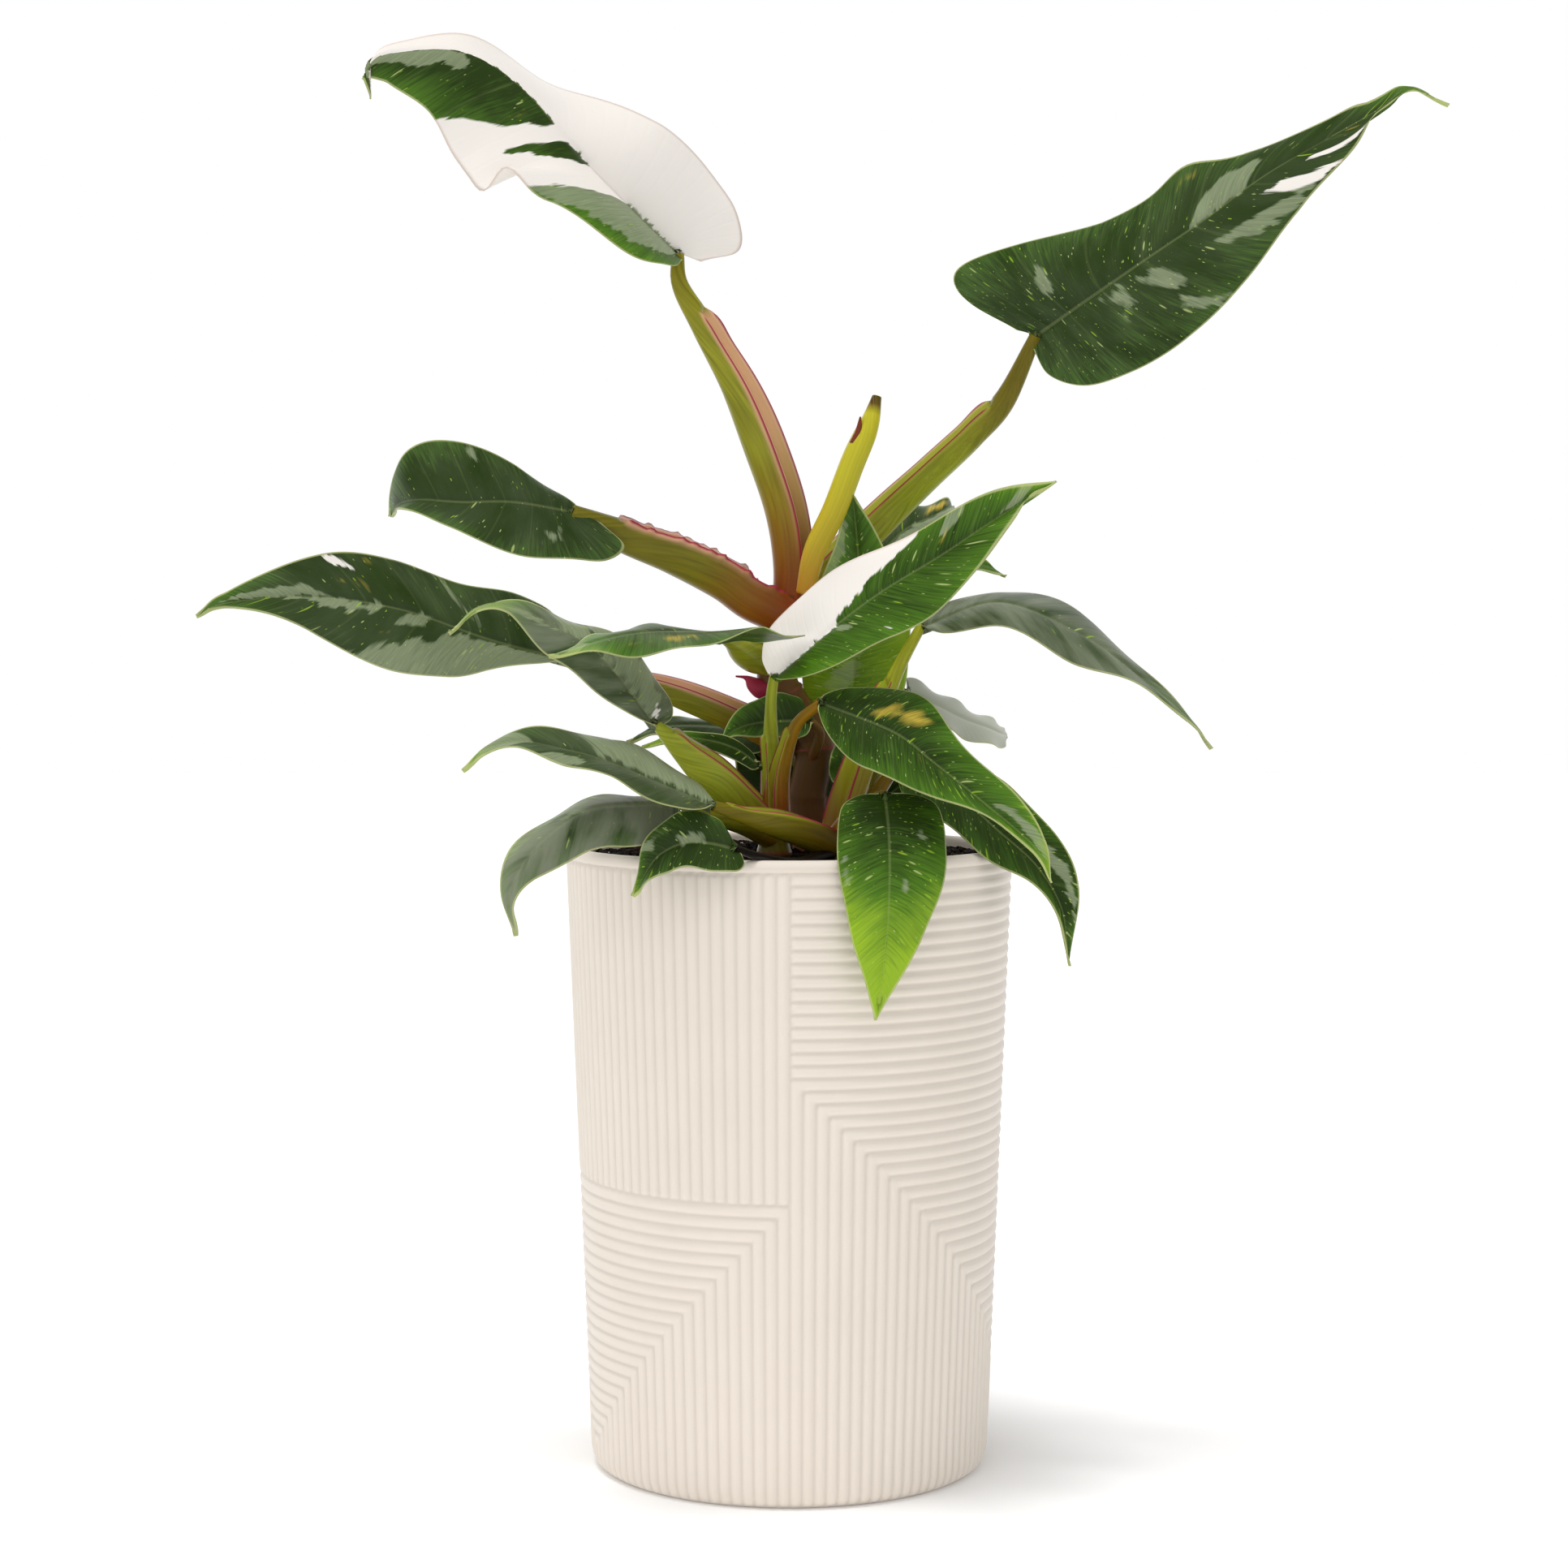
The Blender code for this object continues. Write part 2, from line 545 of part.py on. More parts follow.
LEAVES = {
    "leaf_top_left": dict(
        spine=((-37, -8, 404), (-65, -20, 431), (-87, -26, 456), (-106, -30, 467), (-127, -34, 466),
               (-137, -37, 462), (-138, -39, 451)),
        left=((-7, -24, -6), (-12, -24, -11), (-24, -12, -31), (-14, -6, -36), (-4, -4, -20)),
        right=((20, 8, 20), (20, 10, 18), (6, 20, 7), (4, 14, 10), (6, 10, 24)), lobe=(0.3, 0.6),
        colour=WHITE, gap=1.9, shoot="stems_main",
        stalk=((0, 3, 284), (1, 5, 300), (-1, 4, 318), (-7, 0, 337), (-17, -4, 360), (-28, -7, 381)),
        radii=(6.2, 6.4, 6.6, 6.0, 3.6, 1.9), sheath=0.75, open_to=(0.8, -0.6, 0.1)),
    "leaf_top_right": dict(
        spine=((82, -7, 377), (114, -18, 399), (135, -25, 413), (156, -31, 428), (188, -38, 446),
               (199, -40, 455), (212, -42, 450)),
        left=((-40, 6, 24), (-11, 12, 16), (-8, 12, 13), (-5, 10, 8), (-4, 6, 6)),
        right=((15, -8, -23), (17, -8, -24), (13, -8, -20), (9, -6, -13), (2, -3, -3)), lobe=(0.2, 0.3),
        colour=MID_GREEN, gap=3.3, shoot="stems_main",
        stalk=((1, 8, 286), (14, 17, 300), (33, 21, 320), (47, 14, 333), (61, 5, 346), (71, 0, 357)),
        radii=(5.4, 5.4, 5.0, 4.8, 4.4, 2.6, 1.9), sheath=0.65, open_to=(-0.4, -0.8, 0.5)),
    "leaf_mid_left": dict(
        spine=((-71, -27, 318), (-90, -29, 321), (-107, -28, 321), (-121, -22, 322), (-130, -10, 321),
               (-134, 3, 317)),
        left=((2, -8, -17), (1, -7, -17), (0, -4, -10), (0, -2, -6), (0, 0, -5)),
        right=((0, 6, 6), (0, 8, 14), (0, 8, 24), (-2, 4, 28), (-3, 2, 22)), lobe=(1.3, 0.2),
        colour=DARK_GREEN, gap=3.2, shoot="stems_main",
        stalk=((-1, 1, 285), (-12, -6, 289), (-22, -9, 295), (-38, -14, 303), (-56, -18, 311)),
        radii=(6.2, 6.4, 6.0, 5.2, 3.4, 1.6), sheath=0.8, open_to=(0.0, -0.5, 0.9)),
    "leaf_long_left": dict(
        spine=((-74, 0, 269), (-100, -4, 276), (-129, -8, 286), (-160, -12, 290), (-187, -15, 287),
               (-197, -16, 282)),
        left=((-2, -6, -3), (-1, -8, -7), (1, -8, -18), (2, -8, -25), (1, -6, -22), (0, -4, -13),
              (0, -4, -8)),
        right=((0, 10, 17), (1, 12, 18), (1, 12, 14), (1, 10, 19), (2, 8, 23), (2, 8, 23), (2, 6, 20)),
        lobe=(0.0, 0.1), colour=DARK_GREEN, shoot="stems_main",
        stalk=((2, 4, 240), (-18, 7, 251), (-43, 5, 260)), radii=(5.2, 5.2, 4.8, 2.8, 1.8),
        sheath=0.85, open_to=(0.0, -0.6, 0.8)),
    "leaf_front_left": dict(
        spine=((-43, -48, 249), (-60, -50, 271), (-74, -52, 280), (-88, -56, 287), (-99, -61, 286),
               (-107, -66, 278)),
        left=((-4, -5, -4), (-7, -6, -6), (-5, -6, -8), (-1, -4, -5), (-1, -3, -4)),
        right=((7, 10, 7), (6, 12, 6), (3, 10, 4), (1, 6, 2), (0, 4, 1)), lobe=(0.1, 0.3),
        colour=GREY_GREEN, gap=2.0, shoot="stems_left",
        stalk=((-5, -30, 214), (-18, -36, 228), (-31, -42, 239)), radii=(4.8, 5.2, 5.0, 3.2, 1.5),
        sheath=0.9, open_to=(0.3, -0.3, 0.9)),
    "leaf_level": dict(
        spine=((-22, -45, 277), (-38, -53, 279), (-52, -60, 278), (-64, -69, 275), (-75, -77, 271)),
        left=((14, -17, 4), (8, -12, -6), (5, -8, -5)),
        right=((-4, 10, 2), (-6, 10, 1), (-6, 8, 0)), lobe=(2.1, 0.2), colour=MID_GREEN,
        gap=1.6, shoot="stems_main",
        stalk=((0, 4, 262), (-9, -8, 268), (-17, -28, 273)), radii=(3.4, 2.4, 1.5),
        open_to=(0.0, 0.0, 1.0)),
    "leaf_centre": dict(
        spine=((-5, -40, 264), (15, -48, 281), (30, -52, 292), (48, -55, 303), (66, -59, 315),
               (84, -64, 326)),
        left=((-10, 22, 13), (-9, 16, 12), (-8, 8, 11), (-12, 6, 17), (-14, 6, 20)),
        right=((4, -10, -3), (8, -10, -9), (9, -10, -12), (6, -7, -9), (2, -4, -4)), lobe=(0.2, 0.1),
        colour=WHITE, shoot="stems_left",
        stalk=((-5, -29, 213), (-6, -30, 238), (-6, -37, 256)), radii=(4.2, 3.4, 2.8, 2.0, 1.6),
        sheath=0.6, open_to=(-1.0, -0.4, 0.0)),
    "leaf_upright": dict(
        spine=((21, 15, 251), (22, 11, 268), (24, 4, 287), (23, -3, 305), (21, -9, 324)),
        left=((-17, 3, 0), (-18, -8, 0), (-18, -6, 0)),
        right=((18, -3, 0), (19, -4, 0)), lobe=(0.3, 0.3), colour=LIME, gap=0.8, shoot="stems_back",
        stalk=((24, 26, 214), (24, 24, 232), (22, 19, 244)), radii=(3.6, 3.0, 1.6),
        open_to=(0.0, -1.0, 0.0)),
    "leaf_front_right": dict(
        spine=((10, -50, 256), (33, -63, 247), (45, -69, 238), (60, -76, 226), (76, -82, 212),
               (81, -85, 201)),
        left=((2, 6, 5), (8, 8, 12), (7, 7, 9), (10, 6, 12), (12, 5, 11)),
        right=((-4, -8, -9), (-8, -12, -12), (-6, -10, -8), (-3, -6, -4), (-3, -4, -4)), lobe=(0.1, 0.1),
        colour=DARK_GREEN, shoot="stems_left",
        stalk=((-4, -31, 213), (-3, -34, 232), (2, -42, 248)), radii=(4.6, 3.8, 2.8, 2.0, 1.6),
        sheath=0.7, open_to=(-0.7, -0.5, 0.5)),
    "leaf_low_right": dict(
        spine=((36, -18, 236), (55, -30, 225), (68, -36, 214), (80, -41, 203), (88, -44, 189),
               (89, -44, 171)),
        left=((3, 6, 7), (8, 8, 9), (9, 8, 11), (12, 7, 13), (14, 6, 13)),
        right=((-5, -8, -8), (-6, -10, -8), (-6, -10, -8), (-5, -6, -5), (-2, -4, -2)), lobe=(0.0, 0.0),
        colour=DARK_GREEN, gap=1.4, shoot="stems_front",
        stalk=((15, -38, 211), (24, -28, 220), (32, -20, 230)), radii=(4.2, 3.0, 1.8),
        open_to=(0.0, -1.0, 0.0)),
    "leaf_arched_right": dict(
        spine=((44, 0, 280), (72, -8, 288), (98, -14, 278), (117, -18, 263), (133, -20, 249),
               (139, -21, 240)),
        left=((2, 14, 4), (2, 15, 4), (3, 16, 7), (2, 10, 3), (1, 8, 1)),
        right=((0, -12, -4), (-1, -14, -6), (-2, -14, -10), (-2, -10, -5), (0, -6, -2)), lobe=(0.0, 0.0),
        colour=GREY_GREEN, gap=0.6, shoot="stems_front",
        stalk=((15, -39, 210), (22, -31, 232), (34, -15, 262)), radii=(5.2, 5.0, 4.0, 2.4, 1.7),
        sheath=0.7, open_to=(-0.6, -0.6, 0.5)),
    "leaf_back_right": dict(
        spine=((41, 37, 258), (52, 42, 252), (62, 49, 247), (71, 57, 243), (76, 68, 240)),
        left=((2, 10, 4), (-1, 10, 4)),
        right=((0, -8, -7), (2, -6, -8)), lobe=(0.4, 0.4), colour=GREY_GREEN, gap=2.6, shoot="stems_back",
        stalk=((24, 29, 214), (28, 31, 232), (35, 34, 249)), radii=(3.4, 2.6, 1.5),
        open_to=(0.0, -1.0, 0.0)),
    "leaf_back_high": dict(
        spine=((28, 34, 302), (40, 38, 314), (50, 43, 319), (57, 52, 323), (58, 64, 323)),
        left=((-3, 8, 7), (-4, 6, 4)),
        right=((3, -6, -7), (4, -8, -4)), lobe=(0.4, 0.4), colour=MID_GREEN, gap=2.1, shoot="stems_back",
        stalk=((22, 30, 214), (23, 34, 255), (25, 34, 290)), radii=(3.6, 2.8, 1.5),
        open_to=(0.0, -1.0, 0.0)),
    "leaf_back_tip": dict(
        spine=((37, 26, 286), (48, 25, 294), (58, 22, 299), (67, 20, 299), (74, 18, 295)),
        left=((-3, 8, 5), (-1, 6, 4)),
        right=((3, -6, -7), (1, -8, -5)), lobe=(0.4, 0.4), colour=MID_GREEN, gap=1.8, shoot="stems_back",
        stalk=((26, 28, 214), (32, 30, 245), (34, 28, 272)), radii=(3.4, 2.6, 1.5),
        open_to=(0.0, -1.0, 0.0)),
    "leaf_hanging": dict(
        spine=((30, -67, 227), (31, -75, 215), (31, -80, 200), (30, -82, 182), (27, -82, 158)),
        left=((18, 5, 0), (18, 4, 0), (15, 4, 0)),
        right=((-16, 4, 0), (-17, 4, 0)), lobe=(0.15, 0.15), colour=MID_GREEN, gap=0.9,
        shoot="stems_front",
        stalk=((15, -42, 212), (21, -52, 221), (28, -61, 226)), radii=(3.8, 2.8, 1.6),
        open_to=(0.0, 0.0, 1.0)),
    "leaf_low_left": dict(
        spine=((-24, -70, 224), (-56, -81, 237), (-71, -86, 243), (-84, -90, 246), (-94, -93, 243),
               (-100, -95, 236)),
        left=((-2, -12, -4), (0, -12, -5), (0, -8, -7)),
        right=((0, 14, 6), (0, 14, 7), (0, 12, 7), (0, 8, 6)), lobe=(0.0, 0.0), colour=GREY_GREEN,
        shoot="stems_front",
        stalk=((14, -43, 210), (1, -53, 212), (-14, -64, 218)), radii=(5.0, 5.2, 4.6, 2.8, 1.6),
        sheath=0.9, open_to=(0.0, -0.3, 1.0)),
    "leaf_drooping_left": dict(
        spine=((-35, -58, 224), (-59, -70, 224), (-72, -76, 218), (-82, -82, 208), (-86, -85, 196),
               (-83, -86, 185)),
        left=((2, -8, -12), (5, -10, -12), (7, -6, -6)),
        right=((0, 12, 4), (-1, 11, 2), (-4, 9, 3), (-10, 6, 3), (-8, 5, 2)), lobe=(0.0, 0.0),
        colour=GREY_GREEN, shoot="stems_left",
        stalk=((-6, -32, 211), (-15, -41, 216), (-27, -52, 220)), radii=(3.6, 2.8, 1.6),
        open_to=(0.0, -0.3, 1.0)),
    "leaf_small_front": dict(
        spine=((-17, -77, 211), (-25, -79, 213), (-33, -79, 213), (-41, -78, 209), (-46, -77, 202),
               (-49, -76, 196)),
        left=((0, -5, -8), (2, -5, -8)),
        right=((-2, 4, 10), (-6, 5, 8)), lobe=(0.6, 0.0), colour=DARK_GREEN, shoot="stems_front",
        stalk=((13, -46, 210), (2, -62, 210), (-9, -74, 210)), radii=(3.0, 2.2, 1.5),
        open_to=(0.0, 0.0, 1.0)),
    "leaf_inner": dict(
        spine=((7, -8, 249), (-3, -11, 249), (-13, -14, 248), (-20, -16, 245), (-23, -18, 240)),
        left=((1, -4, -6), (1, -3, -5)),
        right=((-1, 5, 9), (-2, 4, 9)), lobe=(0.0, 0.0), colour=DARK_GREEN, shoot="stems_main",
        stalk=((7, 2, 232), (10, -5, 239), (11, -8, 245)), radii=(3.2, 2.4, 1.4),
        open_to=(1.0, 0.0, 0.0)),
    "leaf_inner_back": dict(
        spine=((-5, 14, 244), (-20, 19, 246), (-34, 18, 247), (-46, 14, 246), (-55, 10, 241)),
        left=((0, -8, -8), (0, -8, -7)),
        right=((0, 9, 3), (0, 8, 3)), lobe=(0.0, 0.0), colour=DARK_GREEN, shoot="stems_main",
        stalk=((7, 7, 226), (4, 12, 233), (0, 14, 240)), radii=(3.2, 2.4, 1.4),
        open_to=(0.0, 0.0, 1.0)),
    "leaf_small_back": dict(
        spine=((19, -3, 227), (18, -4, 234), (18, -4, 240), (19, -2, 246)),
        left=((-5, -1, 0), (-5, 0, 0)),
        right=((5, -1, 0), (5, 0, 0)), lobe=(0.0, 0.0), colour=MID_GREEN, shoot="stems_main",
        stalk=((8, 4, 212), (15, 2, 216), (19, 0, 221)), radii=(2.8, 2.2, 1.2),
        open_to=(0.0, -1.0, 0.0)),
}

SHOOTS = {
    "stems_main": dict(
        foot=(8, 4), radius=7.0,
        stem=((8, 4, 179), (8, 4, 193), (8, 4, 209), (6, 4, 222), (9, 5, 241), (3, 4, 259), (-2, 2, 275),
              (-2, 1, 291)),
        radii=(7.0, 7.0, 7.0, 6.4, 6.8, 6.2, 6.4, 5.0)),
    "stems_left": dict(foot=(-5, -30), radius=5.5, stem=((-5, -30, 179), (-5, -30, 206), (-5, -30, 218)),
                       radii=(5.5, 5.5, 4.6)),
    "stems_front": dict(foot=(14, -41), radius=5.5, stem=((14, -41, 179), (14, -41, 206), (14, -41, 215)),
                        radii=(5.5, 5.5, 4.4)),
    "stems_back": dict(foot=(24, 28), radius=6.0, stem=((24, 28, 179), (24, 28, 206), (24, 28, 220)),
                       radii=(6.0, 6.0, 4.6)),
}

ROOT_BUD = ((-4, 3, 261), (-10, 1, 263), (-15, 0, 266))
NEW_SHOOT = ((3, -6, 291), (5, -7, 305), (13, -8, 319), (20, -7, 335), (25, -5, 347), (28, -3, 357))
NEW_SHOOT_RADII = (2.2, 3.8, 4.1, 4.1, 3.7, 1.0)
CATAPHYLL = dict(
    spine=((-10, -28, 235), (-17, -24, 240), (-26, -22, 243), (-38, -22, 244), (-51, -22, 240)),
    left=((0, -2, -4), (0, -3, -4)), right=((0, 2, 3), (0, 3, 2)))


def build_shoots(stalk_mat):
    """Each shoot's stem with the stalks of its leaves."""
    for name, shoot in SHOOTS.items():
        pieces = [sweep(name, shoot["stem"], shoot["radii"], stalk_mat, rings=9)]
        for leaf_name, leaf in LEAVES.items():
            if leaf["shoot"] != name:
                continue
            path = [Vector(p) for p in leaf["stalk"]]
            path.append(stalk_end(path[-1], leaf["spine"][0], leaf["radii"][-1], leaf.get("gap", BLADE_GAP)))
            pieces.append(sweep(leaf_name + "_stalk", path, leaf["radii"], stalk_mat, leaf["open_to"],
                                leaf.get("sheath", 0.0)))
        if name == "stems_main":
            pieces.append(sweep("bud", ROOT_BUD, (2.6, 1.9, 0.5), stalk_mat, rings=4))
        join_shoot(name, pieces)


def build_plant():
    """Shoots, blades, spear and sheath leaf."""
    stalk_mat = material("Leaf stalk skin", STALK_GREEN, 0.45)
    build_shoots(stalk_mat)
    for name, leaf in LEAVES.items():
        mat = material(name.replace("_", " ") + " surface", leaf["colour"], 0.4)
        blade(name, leaf["spine"], leaf["left"], leaf["right"], mat, leaf.get("lobe", (1.0, 1.0)))
    sweep("new_shoot", NEW_SHOOT, NEW_SHOOT_RADII, material("Rolled young leaf", LIME, 0.4))
    blade("cataphyll", CATAPHYLL["spine"], CATAPHYLL["left"], CATAPHYLL["right"],
          material("Sheath leaf", MID_GREEN, 0.5), (0.0, 0.0), 0.3)


def main():
    clear_scene()
    build_pot()
    build_soil([(*shoot["foot"], shoot["radius"]) for shoot in SHOOTS.values()])
    build_plant()


main()
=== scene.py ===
"""Potted variegated philodendron: the looks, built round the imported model.

Laid out as a Blender add-on and run as a script. Tables are in mm, meshes in metres. The pot's foot is at
the origin, +Z is up, -Y is the camera side and +X is to the right.
"""

import functools
import math
import random

import bpy
import numpy as np
from bpy.props import FloatProperty, FloatVectorProperty, PointerProperty
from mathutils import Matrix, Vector, noise


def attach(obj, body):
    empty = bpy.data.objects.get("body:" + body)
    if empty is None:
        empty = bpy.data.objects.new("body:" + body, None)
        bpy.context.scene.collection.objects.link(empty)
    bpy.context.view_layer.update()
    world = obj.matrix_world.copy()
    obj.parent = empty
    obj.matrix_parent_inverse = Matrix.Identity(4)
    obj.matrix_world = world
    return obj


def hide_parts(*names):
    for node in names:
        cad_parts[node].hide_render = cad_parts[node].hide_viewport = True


bl_info = {
    "name": "Potted Variegated Philodendron",
    "version": (1, 0, 0),
    "blender": (4, 5, 0),
    "location": "View3D > Sidebar > Potted plant",
    "description": "Ribbed ceramic pot with a variegated climbing houseplant, built round its packed model",
    "category": "Object",
}

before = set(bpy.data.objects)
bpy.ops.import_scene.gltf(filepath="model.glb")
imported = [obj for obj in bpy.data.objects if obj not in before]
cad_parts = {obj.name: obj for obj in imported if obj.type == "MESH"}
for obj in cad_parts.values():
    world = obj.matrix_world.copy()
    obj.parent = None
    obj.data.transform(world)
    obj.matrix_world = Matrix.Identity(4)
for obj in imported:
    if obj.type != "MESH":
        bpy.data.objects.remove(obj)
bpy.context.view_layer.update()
MM = 0.001
TINY = 1e-9

# How near vertices are merged on a closed shape and on a blade's sheet, and how near one is at a given
# height, in mm
SEAM = 0.012
SHEET_SEAM = 0.02
AT_HEIGHT = 0.01

# Pot, in mm: radius over the ribs at the foot and rim, the rib pattern's rows below the lip, the outlines of
# lip, inside and foot as radius and height, and the size of the glaze's mottling and waves
POT_HEIGHT = 207.0
RIM_RADIUS = 75.0
FOOT_RADIUS = 66.4
RIBS_AROUND = 108
HALF = RIBS_AROUND // 2
QUARTER = HALF // 2
RIB_TOP = 203.0
RIB_ROW = 4.05
ROWS = 50
ROWS_TO_BAND_CORNER = 16
ROWS_TO_RIGHT_CORNERS = 26
RIB_END = 1.8
RIB_FULLNESS = 2.4
FAR = 99.0
STEPS_PER_RIB = 4
LIP = ((74.5, 203.3), (75.0, 203.9), (75.1, 204.7), (75.0, 205.6), (74.5, 206.4), (73.7, 206.9),
       (72.7, 207.0), (71.7, 206.9), (71.0, 206.5), (70.6, 205.8), (70.5, 204.8))
INNER_FOOT = ((61.9, 12.0), (61.4, 9.0), (60.2, 7.0), (58.4, 6.0), (40.0, 6.0), (15.0, 6.0))
FOOT_ROUNDING = 7.0
FOOT_DRAWN_IN = 3.6
OUTER_FOOT = ((62.6, 0.1), (62.0, 0.0), (58.0, 0.0), (57.4, 0.8), (40.0, 1.0), (15.0, 1.0))
GLAZE_MOTTLE = 20.0
GLAZE_WAVE = 5.0

# Potting mix, in mm, with the outline of its plug from the middle of its top to the middle of its foot
SOIL_TOP = 203.0
SOIL_CROWN = 1.5
SOIL_RADIUS = 70.0
SOIL_STATIONS = (0.0, 0.86, 0.90, 0.97, 1.0)
SOIL_OUTLINE = (0.0, SOIL_RADIUS - 0.6, SOIL_RADIUS - 0.2, 58.5, 0.0)
SOIL_DROP = (0.0, 0.0, -3.0, 6.5 - SOIL_TOP, 6.5 - SOIL_TOP)
SOIL_GRID = (160, 96)
CRUMBLY_TOP = 0.88
CRUMB_HEIGHT = 1.5
CRUMB_PITCH = 0.45
GRAINS = 1700
BARK_FROM = 0.82
PERLITE_FROM = 0.975
PEAT_CRUMBS_PER_M = 260.0
MOIST_PEAT = "#0B0806"
LOOSE_PEAT = "#15100C"
BARK = "#3A2416"

# Blade, from the stalk's notch to the tip: where each vein leaves the midrib and meets the margin, as
# shares of the length, on a heart-shaped and on a blunt base, and how far out it ends
VEIN_ROOT = (0.0, 0.0, 0.03, 0.08, 0.16, 0.27, 0.40, 0.55, 0.71, 0.87, 1.0)
HEART_END = (-0.09, -0.15, -0.08, 0.05, 0.20, 0.36, 0.52, 0.67, 0.81, 0.93, 1.0)
BLUNT_END = (0.01, 0.03, 0.07, 0.14, 0.24, 0.37, 0.52, 0.67, 0.81, 0.93, 1.0)
VEIN_REACH = (0.12, 0.50, 0.84, 0.97, 1.0, 0.96, 0.83, 0.62, 0.38, 0.16, 0.015)
LAST_VEIN = 10.0

# Blade, further: the veins' pitch as a share of its length; how wide a patch's edge is and from what length
# a blade is large, in mm, and the grids of large and small ones; its arch as a share of its half width; its
# margin's ripple, in radians from notch to tip; and its midrib's dip and keel and its thickest place, in mm
VEIN_PITCH = 0.13
PATCH_EDGE = 12.0
LARGE_BLADE = 60.0
LARGE_GRID = (112, 52)
SMALL_GRID = (64, 36)
BLADE_ARCH = 0.20
RIPPLE = 17.0
MIDRIB_DIP = 0.45
DIP_WIDTH = 1.1
KEEL = 1.6
KEEL_WIDTH = 1.3
THICKEST = 3.0

# Leaf patterns: texture, cells per mm along the blade and out along a vein, start, and detail. Clouds are
# 10 by 20 mm, teeth 3 by 17, fine lines 0.6 by 8, streaks 2 by 8 and dots 0.7 by 1.8
LEAF_PATTERNS = {
    "cloud": ("TexNoise", 0.10, 0.05, 0.0, 3.0),
    "teeth": ("TexNoise", 0.31, 0.06, 5.0, 3.0),
    "fine": ("TexNoise", 1.6, 0.12, 9.0, 2.0),
    "streaks": ("TexVoronoi", 0.50, 0.12, 2.0, None),
    "dots": ("TexVoronoi", 1.45, 0.55, 4.0, None),
}

# Leaf skin: the tooth's width and how far teeth shift an outline, how far clouds and fine lines change the
# tone, each mark's strength, how likely and large flecks are, and the midrib's width at the notch in mm
TOOTH = 0.9
TOOTH_SHIFT = 0.9
WHITE_SHIFT = 0.6
CLOUD_SHARE = 0.45
FINE_SHARE = 0.62
TONE_MIDDLE = 0.54
VEIN_STRENGTH = 0.07
PALE_STRENGTH = 0.8
STREAK_STRENGTH = 0.7
STREAK_CHANCE = 0.30
DOT_STRENGTH = 0.75
DOT_CHANCE = 0.50
DOT_SIZE = 0.30
MIDRIB_WIDTH = 0.45
MIDRIB_STRENGTH = 0.2
EDGE_STRENGTH = 0.65
BLUSH_STRENGTH = 0.55
UNDERSIDE_GREY = 0.35
GROOVES_PER_VEIN = 3.0

# Sheath, round its stalk: degrees from the open side to its wings, their width, and the channel's width;
# then how high the wings stand and how deep the channel is, as shares of the radius. Along the stalk, as
# shares of its length: how soon the channel opens and closes, and its tip, where the wings stand higher. A
# ruffled wing has two waves, in radians per mm. The rolled leaf's overlapping edge is a step of its
# own, and rings at the knots are red
WING_AT = 44.0
WING_WIDTH = 11.0
CHANNEL_WIDTH = 30.0
WING_HEIGHT = 0.28
CHANNEL_DEPTH = 0.75
CHANNEL_OPENS = 0.10
CHANNEL_CLOSES = 0.03
SHEATH_TIP = 0.05
TIP_HEIGHT = 1.1
RUFFLE_WAVES = (0.95, 0.37)
ROLL_STEP = 0.16
RING_RED = 1.7
STALK_SETTINGS = ("open_to", "sheath", "ruffle", "tint", "pink", "amber")

# Rolled young leaf: its colours past the foot, its lines, and its dried point
YOUNG_GOLD = "#CDAF28"
YOUNG_BROWN = "#5A2E1C"
YOUNG_TIP = "#3A1E14"
YOUNG_LINE = "#9DA51E"
DRIED_POINT = "#7A3A20"

# Studio: the way to the room's brighter side and the way of the key light; places and sizes in mm; and how
# strongly the darker part of the backdrop is reflected
BRIGHT_SIDE = (-0.62, -0.68, 0.40)
KEY_WAY = (0.12, 0.10, -1.2)
KEY_PLACE = (-800.0, -900.0, 1400.0)
CAMERA_PLACE = (-1.8, -1060.0, 280.0)
SENSOR_WIDTH = 36.0
FLOOR_PLACE = (0.0, 1000.0, 0.0)
FLOOR_SIZE = 8000.0
DARK_REFLECTION = 0.10


# Shared helpers


def linear(code):
    """Turn an sRGB hex colour into linear red, green, blue and alpha."""
    parts = [int(code[i:i + 2], 16) / 255.0 for i in (1, 3, 5)]
    curved = [c / 12.92 if c <= 0.04045 else ((c + 0.055) / 1.055) ** 2.4 for c in parts]
    return (*curved, 1.0)


def add_node(tree, kind, *values, out=0, stops=(), **settings):
    """Add one shader node and return its output, by number, by name or as a slice.

    The values fill its inputs in order: numbers, colours or other nodes' outputs, and None leaves one as it
    is. A kind in capitals is an operation of the Math node, and Mix is for colours. Stops are a ramp's
    places and colours.
    """
    if kind.isupper():
        settings["operation"] = kind
        kind = "Math"
    if kind == "Mix":
        settings["data_type"] = "RGBA"
    new = tree.nodes.new("ShaderNode" + kind)
    for key, value in settings.items():
        setattr(new, key, value)
    for index, (position, colour) in enumerate(stops):
        elements = new.color_ramp.elements
        stop = elements[index] if index < 2 else elements.new(position)
        stop.position = position
        stop.color = colour
    for socket, value in zip([socket for socket in new.inputs if socket.enabled], values):
        if isinstance(value, bpy.types.NodeSocket):
            tree.links.new(value, socket)
        elif value is not None:
            socket.default_value = value
    if isinstance(out, str):
        return new.outputs[out]
    return [socket for socket in new.outputs if socket.enabled][out]


def new_material(name, roughness, **sockets):
    """Start a material and return it with its node tree and a way to add nodes to it."""
    mat = bpy.data.materials.new(name)
    mat.use_nodes = True
    shader = mat.node_tree.nodes["Principled BSDF"]
    shader.inputs["Roughness"].default_value = roughness
    for key, value in sockets.items():
        shader.inputs[key.replace("_", " ")].default_value = value
    return mat, mat.node_tree, functools.partial(add_node, mat.node_tree)


